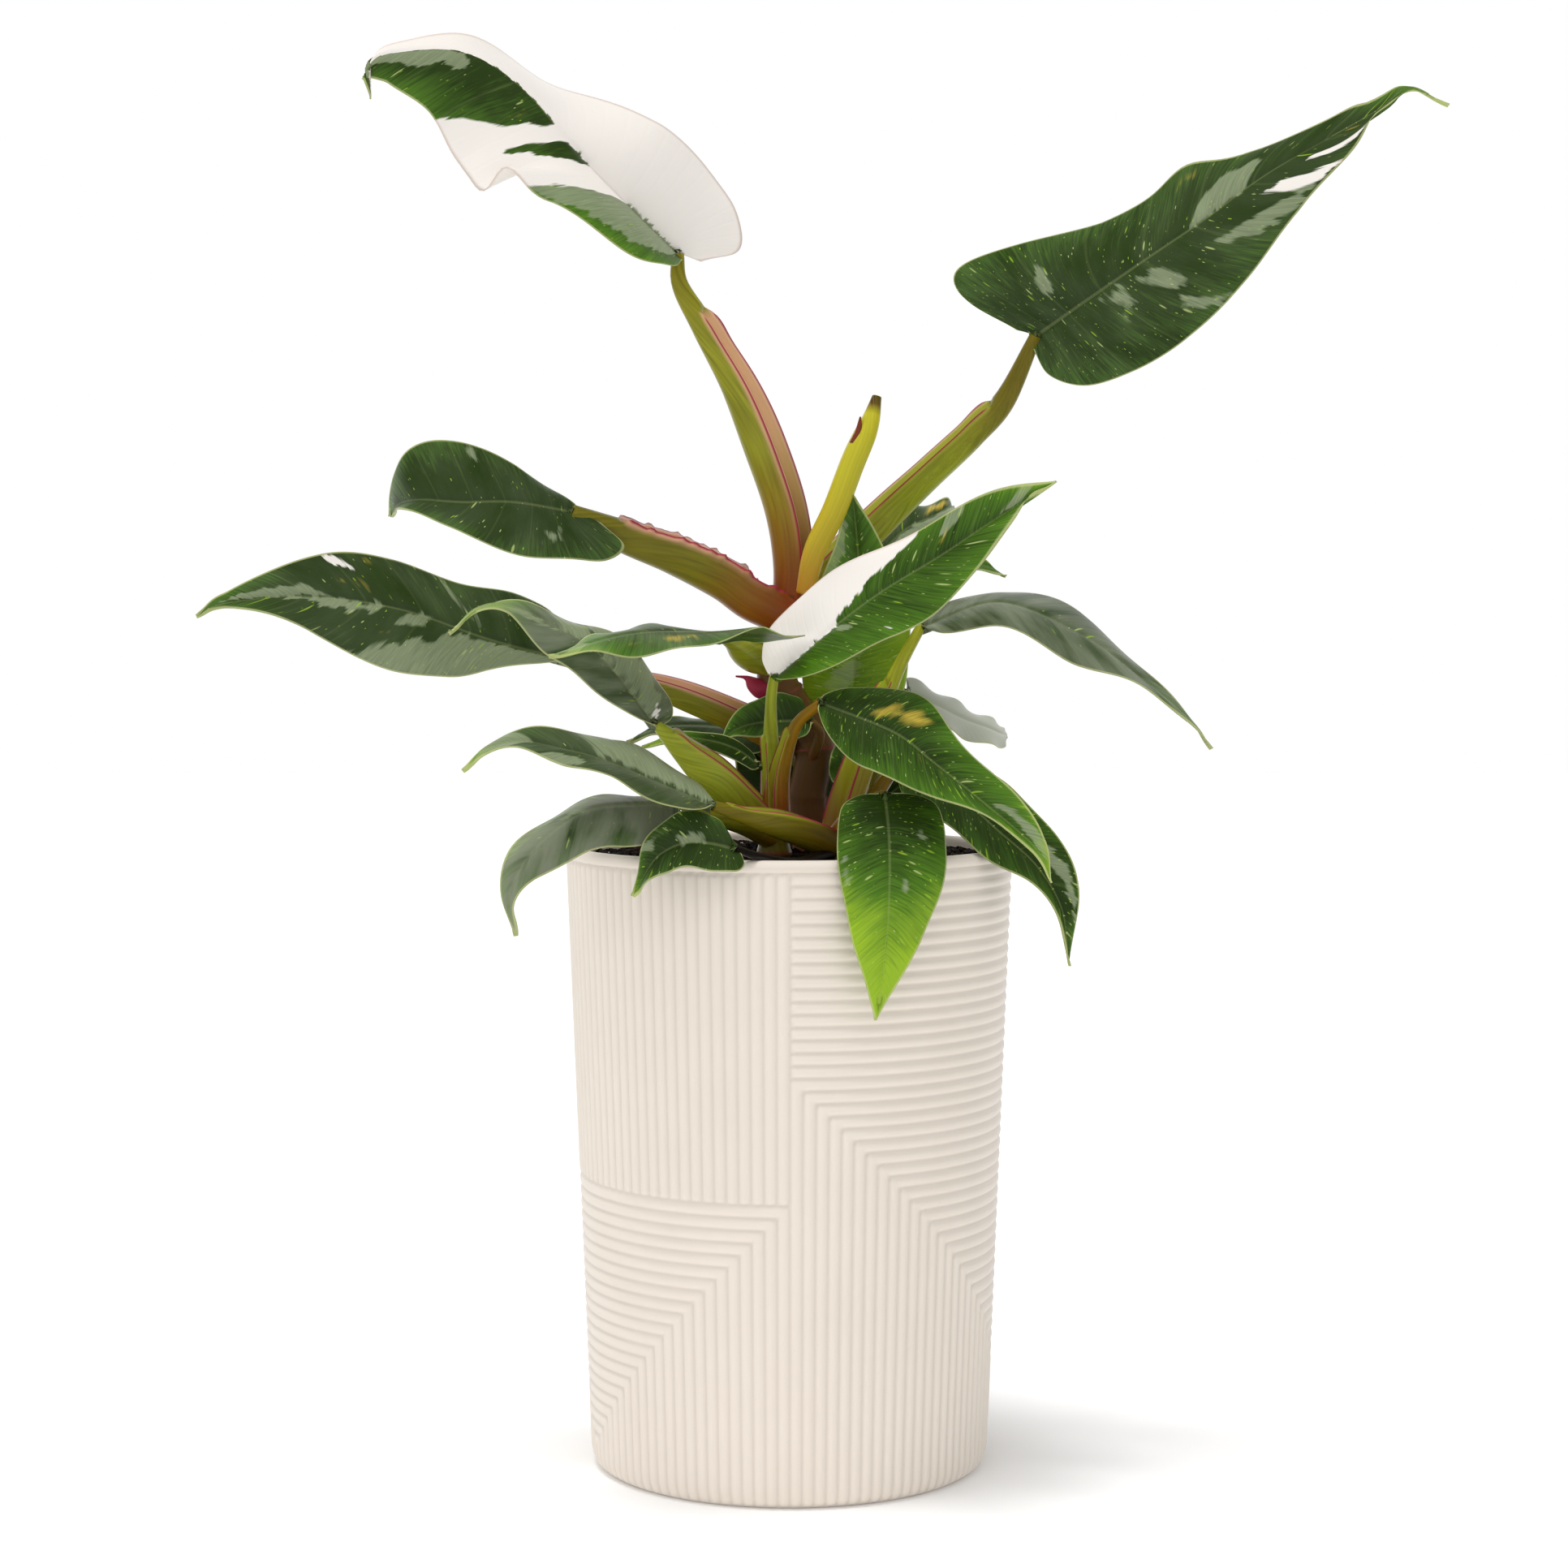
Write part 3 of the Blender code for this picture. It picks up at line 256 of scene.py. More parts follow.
def finish_material(tree, colour, relief, strength, depth):
    """Join colour and fine relief to the material's shader; depth is in mm."""
    shader = tree.nodes["Principled BSDF"]
    tree.links.new(colour, shader.inputs["Base Color"])
    bump = add_node(tree, "Bump", strength, depth * MM, None, relief)
    tree.links.new(bump, shader.inputs["Normal"])


def start_grid(name, along, across):
    """Add a unit grid and return it with each vertex's two places, both 0 to 1."""
    bpy.ops.object.select_all(action="DESELECT")
    bpy.ops.mesh.primitive_grid_add(x_subdivisions=along, y_subdivisions=across, size=1, location=(0, 0, 0))
    piece = bpy.context.active_object
    piece.name = name
    piece.data.name = name
    flat = np.empty(len(piece.data.vertices) * 3)
    piece.data.vertices.foreach_get("co", flat)
    flat = flat.reshape(-1, 3)
    return piece, flat[:, 0] + 0.5, flat[:, 1] + 0.5


def place(piece, points):
    """Move a mesh's vertices to points in mm."""
    piece.data.vertices.foreach_set("co", (np.asarray(points) * MM).astype(np.float32).ravel())
    piece.data.update()


def store(piece, name, *columns):
    """Keep one number or three numbers at each vertex, for the materials."""
    kind, key = ("FLOAT", "value") if len(columns) == 1 else ("FLOAT_VECTOR", "vector")
    attribute = piece.data.attributes.new(name, kind, "POINT")
    attribute.data.foreach_set(key, np.stack(columns, 1).astype(np.float32).ravel())


def close_seams(reach=SEAM, turn_outwards=True):
    """Merge the active piece's doubled vertices and turn its faces outwards; a sheet keeps its facing."""
    bpy.ops.object.mode_set(mode="EDIT")
    bpy.ops.mesh.select_all(action="SELECT")
    bpy.ops.mesh.remove_doubles(threshold=reach * MM)
    if turn_outwards:
        bpy.ops.mesh.normals_make_consistent(inside=False)
    bpy.ops.mesh.select_all(action="DESELECT")
    bpy.ops.object.mode_set(mode="OBJECT")


def join(pieces):
    """Make several pieces one, under the first one's name."""
    bpy.ops.object.select_all(action="DESELECT")
    for piece in pieces:
        piece.select_set(True)
    bpy.context.view_layer.objects.active = pieces[0]
    bpy.ops.object.join()
    return pieces[0]


def finish_piece(piece, nodes, materials):
    """Give a piece its materials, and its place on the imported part."""
    for mat in materials:
        piece.data.materials.append(mat)
    bpy.ops.object.select_all(action="DESELECT")
    piece.select_set(True)
    bpy.context.view_layer.objects.active = piece
    bpy.ops.object.shade_smooth()
    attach(piece, "root")
    if nodes:
        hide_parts(*nodes)


def curve_through(points, share):
    """Point on a smooth curve through the given points; it runs on straight before and after its ends."""
    steps = [(b - a).length for a, b in zip(points, points[1:])]
    total = sum(steps)
    if share <= 0.0:
        return points[0] + (points[1] - points[0]).normalized() * share * total
    if share >= 1.0:
        return points[-1] + (points[-1] - points[-2]).normalized() * (share - 1.0) * total
    left = share * total
    index = 0
    while left > steps[index] and index < len(steps) - 1:
        left -= steps[index]
        index += 1
    t = left / steps[index]
    p1 = points[index]
    p2 = points[index + 1]
    p0 = points[index - 1] if index > 0 else p1 * 2.0 - p2
    p3 = points[index + 2] if index + 2 < len(points) else p2 * 2.0 - p1
    bend = (p2 - p0) * t + (p0 * 2.0 - p1 * 5.0 + p2 * 4.0 - p3) * t * t
    bend += (p1 * 3.0 - p0 - p2 * 3.0 + p3) * t * t * t
    return p1 + bend * 0.5


class Path:
    """A smooth curve sampled closely, for placing many vertices along it at once."""

    def __init__(self, points):
        points = [Vector(p) for p in points]
        self.shares = np.linspace(-0.3, 1.1, 281)
        places = [curve_through(points, share) for share in self.shares]
        self.places = np.array(places)
        ahead = np.roll(self.places, -2, 0) - np.roll(self.places, 2, 0)
        ahead[:2] = ahead[2]
        ahead[-2:] = ahead[-3]
        self.ways = unit(ahead)
        self.length = sum((b - a).length for a, b in zip(points, points[1:]))

    def at(self, share):
        return np.stack([np.interp(share, self.shares, self.places[:, i]) for i in range(3)], 1)

    def way(self, share):
        return unit(np.stack([np.interp(share, self.shares, self.ways[:, i]) for i in range(3)], 1))


def unit(vectors):
    """Scale each vector to length one."""
    return vectors / np.maximum(np.linalg.norm(vectors, axis=1, keepdims=True), TINY)


def along_list(values, share):
    """Blend smoothly along evenly spaced numbers or vectors, at an array of shares."""
    values = np.asarray(values, float)
    flat = values.ndim == 1
    if flat:
        values = values[:, None]
    count = len(values)
    if count == 1:
        result = np.repeat(values, len(share), 0)
        return result[:, 0] if flat else result
    where = np.clip(share, 0.0, 1.0) * (count - 1)
    low = np.minimum(where.astype(int), count - 2)
    t = (where - low)[:, None]
    p1 = values[low]
    p2 = values[low + 1]
    p0 = np.where((low > 0)[:, None], values[np.maximum(low - 1, 0)], 2 * p1 - p2)
    p3 = np.where((low + 2 < count)[:, None], values[np.minimum(low + 2, count - 1)], 2 * p2 - p1)
    result = p1 + 0.5 * ((p2 - p0) * t + (2 * p0 - 5 * p1 + 4 * p2 - p3) * t ** 2
                         + (3 * p1 - p0 - 3 * p2 + p3) * t ** 3)
    return result[:, 0] if flat else result


def ease(low, high, value):
    """Go smoothly from 0 at low to 1 at high."""
    t = np.clip((value - low) / (high - low), 0.0, 1.0)
    return t * t * (3.0 - 2.0 * t)


# Pot


def pot_radius(height):
    """Outer radius over the ribs' crests, drawn in towards the rounded foot."""
    low = np.clip((FOOT_ROUNDING - height) / FOOT_ROUNDING, 0.0, 1.0)
    drawn_in = FOOT_DRAWN_IN * (1.0 - np.sqrt(1.0 - low ** 2))
    return FOOT_RADIUS + (RIM_RADIUS - FOOT_RADIUS) * height / POT_HEIGHT - drawn_in


def rib_share(rib, row):
    """How high the relief stands, 0 in a groove to 1 on a crest, at places in ribs and rows.

    From rib 0 to the quarter the ribs are level and turn down at square corners; from the quarter to the
    half they are upright over a second family of level ribs.
    """
    first = rib < QUARTER
    below_band = row - ROWS_TO_BAND_CORNER < rib
    below_right = (row > ROWS_TO_RIGHT_CORNERS) & (row - ROWS_TO_RIGHT_CORNERS < HALF - rib)
    level = np.where(first, below_band, below_band & below_right)
    across = np.where(level, row, rib)
    height = 1.0 - np.abs(2.0 * (across - np.floor(across)) - 1.0) ** RIB_FULLNESS
    upright_top = ~first & (row < ROWS_TO_RIGHT_CORNERS)
    to_end = np.full(rib.shape, FAR)
    to_end = np.where(~level, np.minimum(row, ROWS - row) * RIB_ROW, to_end)
    to_end = np.where(upright_top, np.minimum(row, ROWS_TO_RIGHT_CORNERS - row) * RIB_ROW, to_end)
    ends_left = level & first & (row < ROWS_TO_BAND_CORNER)
    to_end = np.where(ends_left, np.minimum(to_end, rib * RIB_ROW), to_end)
    ends_right = level & first & (row < ROWS_TO_RIGHT_CORNERS)
    to_end = np.where(ends_right, np.minimum(to_end, (QUARTER - rib) * RIB_ROW), to_end)
    rounding = np.clip(to_end / RIB_END, 0.0, 1.0)
    return height * np.sqrt(1.0 - (1.0 - rounding) ** 2)


def extend_loop(rings, radius, height):
    """Extrude the selected loop of vertices through rings of given radius and height, in mm."""
    for new_radius, new_height in rings:
        rise = (new_height - height) * MM
        bpy.ops.mesh.extrude_region_move(TRANSFORM_OT_translate={"value": (0.0, 0.0, rise)})
        scale = new_radius / radius
        bpy.ops.transform.resize(value=(scale, scale, 1.0), center_override=(0.0, 0.0, 0.0))
        radius = new_radius
        height = new_height
    bpy.ops.mesh.extrude_region_move(TRANSFORM_OT_translate={"value": (0.0, 0.0, 0.0)})
    bpy.ops.mesh.merge(type="CENTER")


def build_pot(look):
    """Wall with its ribs from one wrapped grid, then lip, inside and foot from its edge loops."""
    pot, around, up = start_grid("ribbed_pot", RIBS_AROUND * STEPS_PER_RIB, ROWS * STEPS_PER_RIB)
    row = ROWS * (1.0 - up)
    height = RIB_TOP - row * RIB_ROW
    rib = np.mod(np.round(around * RIBS_AROUND, 4), HALF)
    relief = rib_share(rib, row)
    depth = look.rib_depth / MM
    radius = pot_radius(height) - depth * (1.0 - relief)
    angle = around * math.tau
    place(pot, np.stack([radius * np.sin(angle), -radius * np.cos(angle), height], 1))
    store(pot, "relief", relief)
    close_seams()
    foot_height = RIB_TOP - ROWS * RIB_ROW
    for start, rings in ((RIB_TOP, LIP + INNER_FOOT), (foot_height, OUTER_FOOT)):
        for vertex in pot.data.vertices:
            vertex.select = abs(vertex.co.z - start * MM) < AT_HEIGHT * MM
        bpy.ops.object.mode_set(mode="EDIT")
        bpy.ops.mesh.select_mode(type="VERT")
        extend_loop(rings, pot_radius(start) - depth, start)
        bpy.ops.mesh.select_all(action="DESELECT")
        bpy.ops.object.mode_set(mode="OBJECT")
    close_seams()
    finish_piece(pot, ["pot"], [glaze(look)])


def glaze(look):
    """Slip-cast stoneware under a satin cream glaze: soft wide highlights, grooves a little greyer.

    The grooves are coloured darker than the crests. The glaze is mottled, and slightly wavy.
    """
    mat, tree, add = new_material("Stoneware, satin cream glaze", 0.42, IOR=1.5, Specular_IOR_Level=0.3)
    spot = add("TexCoord", out="Object")
    groove_darkening = add("MapRange", add("Attribute", attribute_name="relief", out="Fac"), 0.0, 0.8, 0.40, 0.0)
    colour = add("Mix", add("TexNoise", spot, 1.0 / (GLAZE_MOTTLE * MM), 3.0), look.glaze, look.glaze_shade)
    colour = add("Mix", groove_darkening, colour, look.groove)
    finish_material(tree, colour, add("TexNoise", spot, 1.0 / (GLAZE_WAVE * MM), 2.0), 0.12, 0.4)
    return mat


# Potting mix


def soil_height(x, y):
    """Crowned, lightly lumpy top of the mix."""
    reach = np.hypot(x, y) / (SOIL_RADIUS + 0.5)
    lumps = np.sin(x * 0.21 + 1.0) * np.sin(y * 0.17) + 0.6 * np.sin(x * 0.43) * np.sin(y * 0.37 + 2.0)
    return SOIL_TOP + SOIL_CROWN * (1.0 - reach ** 2) + 0.5 * lumps * (1.0 - reach ** 4)


def build_soil(look):
    """Plug of mix with a crumbly top, and loose grains of bark, peat and perlite on it."""
    mix, around, out = start_grid("potting_mix", *SOIL_GRID)
    radius = np.interp(out, SOIL_STATIONS, SOIL_OUTLINE)
    angle = around * math.tau
    x = radius * np.sin(angle)
    y = -radius * np.cos(angle)
    drop = np.interp(out, SOIL_STATIONS, SOIL_DROP)
    crumbs = [noise.fractal(Vector((a, b, 3.0)) * CRUMB_PITCH, 0.6, 2.0, 4) for a, b in zip(x, y)]
    z = np.where(out < CRUMBLY_TOP, soil_height(x, y) + CRUMB_HEIGHT * np.array(crumbs), SOIL_TOP) + drop
    place(mix, np.stack([x, y, z], 1))
    close_seams()
    mat = potting_mix(look)
    finish_piece(mix, ["soil"], [mat])
    bpy.ops.object.select_all(action="DESELECT")
    bpy.ops.mesh.primitive_ico_sphere_add(subdivisions=1, radius=1.0, location=(0, 0, 0))
    grains = bpy.context.active_object
    grains.name = "potting_mix_grains"
    shape = np.array([v.co[:] for v in grains.data.vertices])
    faces = np.array([p.vertices[:] for p in grains.data.polygons])
    draw = random.Random(11)
    points = []
    loops = []
    tints = []
    for i in range(GRAINS):
        reach = (SOIL_RADIUS - 2.5) * math.sqrt(draw.random())
        turn = draw.uniform(0.0, math.tau)
        kind = draw.random()
        size = draw.uniform(0.35, 0.9)
        flat = draw.uniform(0.5, 1.0)
        tint = draw.uniform(0.0, 0.35)
        # Most grains are peat; the rest are bark chips and a few of perlite
        if kind > BARK_FROM:
            size = draw.uniform(0.9, 1.9)
            flat = draw.uniform(0.3, 0.5)
            tint = draw.uniform(0.3, 0.6)
        if kind > PERLITE_FROM:
            size = draw.uniform(0.4, 1.0)
            flat = 0.9
            tint = 1.0
        spin = draw.uniform(0.0, math.tau)
        stretch = np.array([size * draw.uniform(1.0, 1.8), size, size * flat])
        tilt = draw.uniform(-0.7, 0.7)
        grain = shape * stretch * np.array([[draw.uniform(0.75, 1.15)] for _ in shape])
        grain = grain @ np.array([[math.cos(tilt), 0, math.sin(tilt)], [0, 1, 0],
                                  [-math.sin(tilt), 0, math.cos(tilt)]])
        grain = grain @ np.array([[math.cos(spin), math.sin(spin), 0], [-math.sin(spin), math.cos(spin), 0],
                                  [0, 0, 1]])
        x = reach * math.sin(turn)
        y = reach * math.cos(turn)
        points.append(grain + np.array([x, y, float(soil_height(x, y)) + size * flat * 0.4]))
        loops.append(faces + i * len(shape))
        tints += [tint] * len(shape)
    mesh = grains.data
    mesh.clear_geometry()
    mesh.from_pydata([tuple(p) for p in np.concatenate(points) * MM], [], np.concatenate(loops).tolist())
    store(grains, "grain", np.array(tints))
    finish_piece(grains, [], [mat])


def potting_mix(look):
    """Moist peat and bark with perlite: near-black and matt, with brown chips and off-white grains."""
    mat, tree, add = new_material("Potting mix, peat, bark and perlite", 0.85, Specular_IOR_Level=0.1)
    grain = add("Attribute", attribute_name="grain", out="Fac")
    crumbs = add("TexNoise", add("TexCoord", out="Object"), PEAT_CRUMBS_PER_M, 5.0)
    packed = add("Mix", crumbs, linear(MOIST_PEAT), look.peat)
    stops = ((0.0, linear(LOOSE_PEAT)), (0.6, linear(BARK)), (0.92, look.perlite))
    loose = add("ValToRGB", grain, stops=stops)
    finish_material(tree, add("Mix", add("GREATER_THAN", grain, 0.28), packed, loose), crumbs, 0.6, 1.0)
    return mat


# Leaf blades


def blade_surface(leaf, path, vein, out):
    """Middle surface of a blade in mm, at vein numbers and places across.

    Returned with it are the share along the midrib, and how far each place is from midrib and margin.
    """
    part = vein / LAST_VEIN
    root = along_list(VEIN_ROOT, part)
    left_lobe, right_lobe = leaf.get("lobe", (0.0, 0.0))
    blunt = along_list(BLUNT_END, part)
    end = blunt + (along_list(HEART_END, part) - blunt) * np.where(out < 0.0, left_lobe, right_lobe)
    reach = np.maximum(along_list(VEIN_REACH, part), 0.012) ** leaf.get("taper", 1.0)
    amount = np.abs(out)
    share = root + (end - root) * amount ** 1.2
    is_left = (out < 0.0)[:, None]
    side = np.where(is_left, along_list(leaf["left"], share), along_list(leaf["right"], share))
    along = path.way(share)
    up = unit(np.where(is_left, np.cross(along, side), np.cross(side, along)))
    width = np.linalg.norm(side, axis=1)
    arch = BLADE_ARCH * width * reach * (amount - amount ** 2)
    phase = np.where(out < 0.0, 1.0, 2.6)
    ripple = leaf.get("wave", 1.0) * np.sin(share * RIPPLE + phase) * amount ** 3
    centre = path.at(share) + side * (reach * amount)[:, None]
    for place_out, where, wide, push in leaf.get("folds", ()):
        near = np.exp(-((vein - where) / wide) ** 2) * np.clip(out * place_out, 0.0, 1.0) ** 2.5
        centre = centre + near[:, None] * np.array(push)
    from_rib = reach * amount * width
    to_edge = reach * (1.0 - amount) * width
    dip = MIDRIB_DIP * np.exp(-(from_rib / DIP_WIDTH) ** 2) * ease(1.0, 0.85, share)
    return centre + up * (arch + ripple - dip)[:, None], share, from_rib, to_edge


def patch_share(vein, out, corners, pitch, half_width):
    """1 well inside a patch, 0 well outside and 0.5 on its outline, given in veins and shares out."""
    spots = np.stack([vein * pitch, out * half_width], 1)
    outline = np.array(corners, float) * (pitch, half_width)
    nearest = np.full(len(spots), 1.0 / TINY)
    inside = np.zeros(len(spots), bool)
    for a, b in zip(outline, np.roll(outline, -1, 0)):
        edge = b - a
        t = np.clip(((spots - a) @ edge) / max(edge @ edge, TINY), 0.0, 1.0)
        nearest = np.minimum(nearest, np.linalg.norm(spots - a - t[:, None] * edge, axis=1))
        crosses = (a[1] > spots[:, 1]) != (b[1] > spots[:, 1])
        rise = edge[1] if abs(edge[1]) > TINY else TINY
        inside ^= crosses & (spots[:, 0] < a[0] + (spots[:, 1] - a[1]) * edge[0] / rise)
    return np.clip(0.5 + np.where(inside, nearest, -nearest) / PATCH_EDGE, 0.0, 1.0)


def store_markings(blade, leaf, vein, out, pitch, half_width, share):
    """Keep a blade's tone, patches and flecks at its vertices."""
    flat = np.zeros(len(vein))
    marks = {"white": flat, "pale": flat, "yellow": flat, "green": flat}
    for kind, corners, *strength in leaf.get("marks", ()):
        share_in = patch_share(vein, out, corners, pitch, half_width) * (strength[0] if strength else 1.0)
        marks[kind] = np.maximum(marks[kind], share_in)
    for kind in ("white", "pale", "yellow"):
        marks[kind] = np.minimum(marks[kind], 1.0 - marks["green"])
    marks["pale"] = marks["pale"] + 2.0 * leaf.get("milky", 0.0)
    store(blade, "marks", marks["white"], marks["pale"], marks["yellow"])
    tone = along_list(leaf["tone"], share) + leaf["rim"] * out ** 2
    # The third number is the share of painted grey sheen, standing in for the backdrop's reflection
    store(blade, "tone", tone, flat + leaf["specks"], flat + leaf["grey"])


def build_blade(name, leaf, look, materials):
    """One blade: a grid laid on its veins, with a sunk midrib, and a keel under it."""
    path = Path(leaf["spine"])
    grid = LARGE_GRID if path.length > LARGE_BLADE else SMALL_GRID
    blade, along, across = start_grid("blade_" + name.replace("leaf_", ""), *grid)
    vein = along * LAST_VEIN
    spread = 1.0 - 2.0 * across
    out = np.sign(spread) * np.abs(spread) ** 1.15
    points, share, from_rib, to_edge = blade_surface(leaf, path, vein, out)
    place(blade, points)
    pitch = VEIN_PITCH * path.length
    half_width = float(np.mean([Vector(v).length for v in tuple(leaf["left"]) + tuple(leaf["right"])]))
    # Each blade's pattern starts at a place of its own
    seed = (len(name) * 37 + sum(map(ord, name))) % 100 * 7.0
    store(blade, "vein_mm", vein * pitch + seed, np.sign(out) * from_rib, vein)
    store(blade, "leaf", share, from_rib, to_edge)
    store_markings(blade, leaf, vein, out, pitch, half_width, share)
    keel = KEEL * np.exp(-(from_rib / KEEL_WIDTH) ** 2) * np.clip(1.0 - share, 0.0, 1.0) ** 0.6
    thickness = look.thickness / MM * (0.55 + 0.45 * np.clip(to_edge / 3.0, 0.0, 1.0)) + keel
    group = blade.vertex_groups.new(name="thickness")
    for i, weight in enumerate(thickness / THICKEST):
        group.add([i], float(weight), "REPLACE")
    close_seams(SHEET_SEAM, turn_outwards=False)
    solid = blade.modifiers.new("Thickness", "SOLIDIFY")
    solid.thickness = THICKEST * MM
    solid.offset = -1.0
    solid.vertex_group = group.name
    solid.material_offset = 1
    bpy.ops.object.modifier_apply(modifier=solid.name)
    blade.vertex_groups.clear()
    finish_piece(blade, [] if leaf.get("looks_only") else [name], materials)


def leaf_skin(look, name, roughness, under):
    """Waxy living leaf: satin with a wide sheen, grown with streaks and specks that follow its side veins.

    Specks are up to 1 mm and streaks up to 5 mm long, and patches end in teeth along the veins. The margin
    is a pale line of 0.3 to 0.5 mm. Part of the sheen is painted: a grey mixed into the colour, as strong
    as each blade's grey share.
    """
    mat, tree, add = new_material(name, roughness, IOR=1.45, Specular_IOR_Level=0.4)
    vein, leaf, marks, tone = (
        add("SeparateXYZ", add("Attribute", attribute_name=part, out="Vector"), out=slice(3))
        for part in ("vein_mm", "leaf", "marks", "tone"))
    found = {}
    for pattern, (kind, along, outward, start, detail) in LEAF_PATTERNS.items():
        x = add("SNAP", vein[0], TOOTH) if pattern == "teeth" else vein[0]
        spot = add("CombineXYZ", add("MULTIPLY", x, along), add("MULTIPLY", vein[1], outward), start)
        found[pattern] = add(kind, spot, 1.0, detail, out=slice(2))
    cloud = found["cloud"][0]
    fine = found["fine"][0]
    # Dark to lime by the tone, broken up by clouds and fine lines, under a painted grey sheen and faint side
    # veins
    shift = add("MULTIPLY", add("SUBTRACT", found["teeth"][0], 0.5), TOOTH_SHIFT)
    uneven = add("ADD", add("MULTIPLY", cloud, CLOUD_SHARE), add("MULTIPLY", fine, FINE_SHARE))
    ripe = add("ADD", tone[0], add("SUBTRACT", uneven, TONE_MIDDLE), use_clamp=True)
    stops = ((0.0, look.dark), (0.12, look.dark), (0.52, look.mid), (1.0, look.lime))
    colour = add("ValToRGB", ripe, stops=stops)
    painted_sheen_share = add("MULTIPLY", tone[2], add("MapRange", cloud, 0.25, 1.5), use_clamp=True)
    colour = add("Mix", painted_sheen_share, colour, look.painted_sheen)
    line = add("MapRange", add("ABSOLUTE", add("SUBTRACT", add("FRACT", vein[2]), 0.5)), 0.465, 0.495)
    colour = add("Mix", add("MULTIPLY", line, VEIN_STRENGTH), colour, look.midrib)
    # Pale patches, milky zones and yellow flecks
    pale = add("MapRange", add("ADD", marks[1], shift), 0.45, 0.55)
    greened = add("MULTIPLY", add("MapRange", ripe, 0.45, 1.0), 0.8)
    patch = add("Mix", greened, add("Mix", fine, look.grey, look.pale), look.lime)
    colour = add("Mix", add("MULTIPLY", pale, PALE_STRENGTH), colour, patch)
    colour = add("Mix", add("MapRange", marks[1], 1.2, 2.0), colour, look.milk)
    yellow = add("MapRange", add("ADD", marks[2], shift), 0.40, 0.62)
    yellow = add("MULTIPLY", yellow, add("MULTIPLY", fine, 1.8, use_clamp=True))
    colour = add("Mix", yellow, colour, look.yellow)
    # Streaks and dots, each in a share of its pattern's cells
    near, tints = found["streaks"]
    chance = add("SeparateColor", tints, out=slice(3))
    wanted = add("LESS_THAN", chance[0], add("MULTIPLY", tone[1], STREAK_CHANCE))
    frayed = add("ADD", near, add("MULTIPLY", fine, 0.2))
    streak = add("MULTIPLY", add("MapRange", frayed, 0.30, 0.22), wanted)
    fleck = add("Mix", chance[2], look.lime, look.speck)
    colour = add("Mix", add("MULTIPLY", streak, STREAK_STRENGTH), colour, fleck)
    near, tints = found["dots"]
    chance = add("SeparateColor", tints, out=slice(3))
    size = add("MULTIPLY", add("MULTIPLY", chance[1], chance[1]), DOT_SIZE)
    wanted = add("LESS_THAN", chance[0], add("MULTIPLY", tone[1], DOT_CHANCE))
    dot = add("MULTIPLY", add("LESS_THAN", near, size), wanted)
    fleck = add("Mix", chance[2], look.lime, look.speck)
    colour = add("Mix", add("MULTIPLY", dot, DOT_STRENGTH), colour, fleck)
    # Midrib, margin and the white zones with their blush
    rib_width = add("MULTIPLY", add("SUBTRACT", 1.15, leaf[0]), MIDRIB_WIDTH)
    rib = add("MapRange", add("SUBTRACT", leaf[1], rib_width), 0.25, -0.15)
    colour = add("Mix", add("MULTIPLY", rib, MIDRIB_STRENGTH), colour, look.midrib)
    edge = add("MapRange", leaf[2], 0.5, 0.25)
    colour = add("Mix", add("MULTIPLY", edge, EDGE_STRENGTH), colour, look.margin)
    rim = add("MULTIPLY", add("MapRange", leaf[2], 0.9, 0.3), BLUSH_STRENGTH)
    white = add("MapRange", add("ADD", marks[0], add("MULTIPLY", shift, WHITE_SHIFT)), 0.47, 0.53)
    colour = add("Mix", white, colour, add("Mix", rim, look.white, look.blush))
    if under:
        colour = add("Mix", UNDERSIDE_GREY, colour, look.grey)
    # Shallow grooves between the side veins
    pulse = add("FRACT", add("MULTIPLY", vein[2], GROOVES_PER_VEIN))
    groove = add("MapRange", add("ABSOLUTE", add("SUBTRACT", pulse, 0.5)), 0.0, 0.16)
    finish_material(tree, colour, add("ADD", groove, add("MULTIPLY", fine, 0.5)), 0.12, 0.3)
    return mat


# Stems, stalks and the rolled shoot


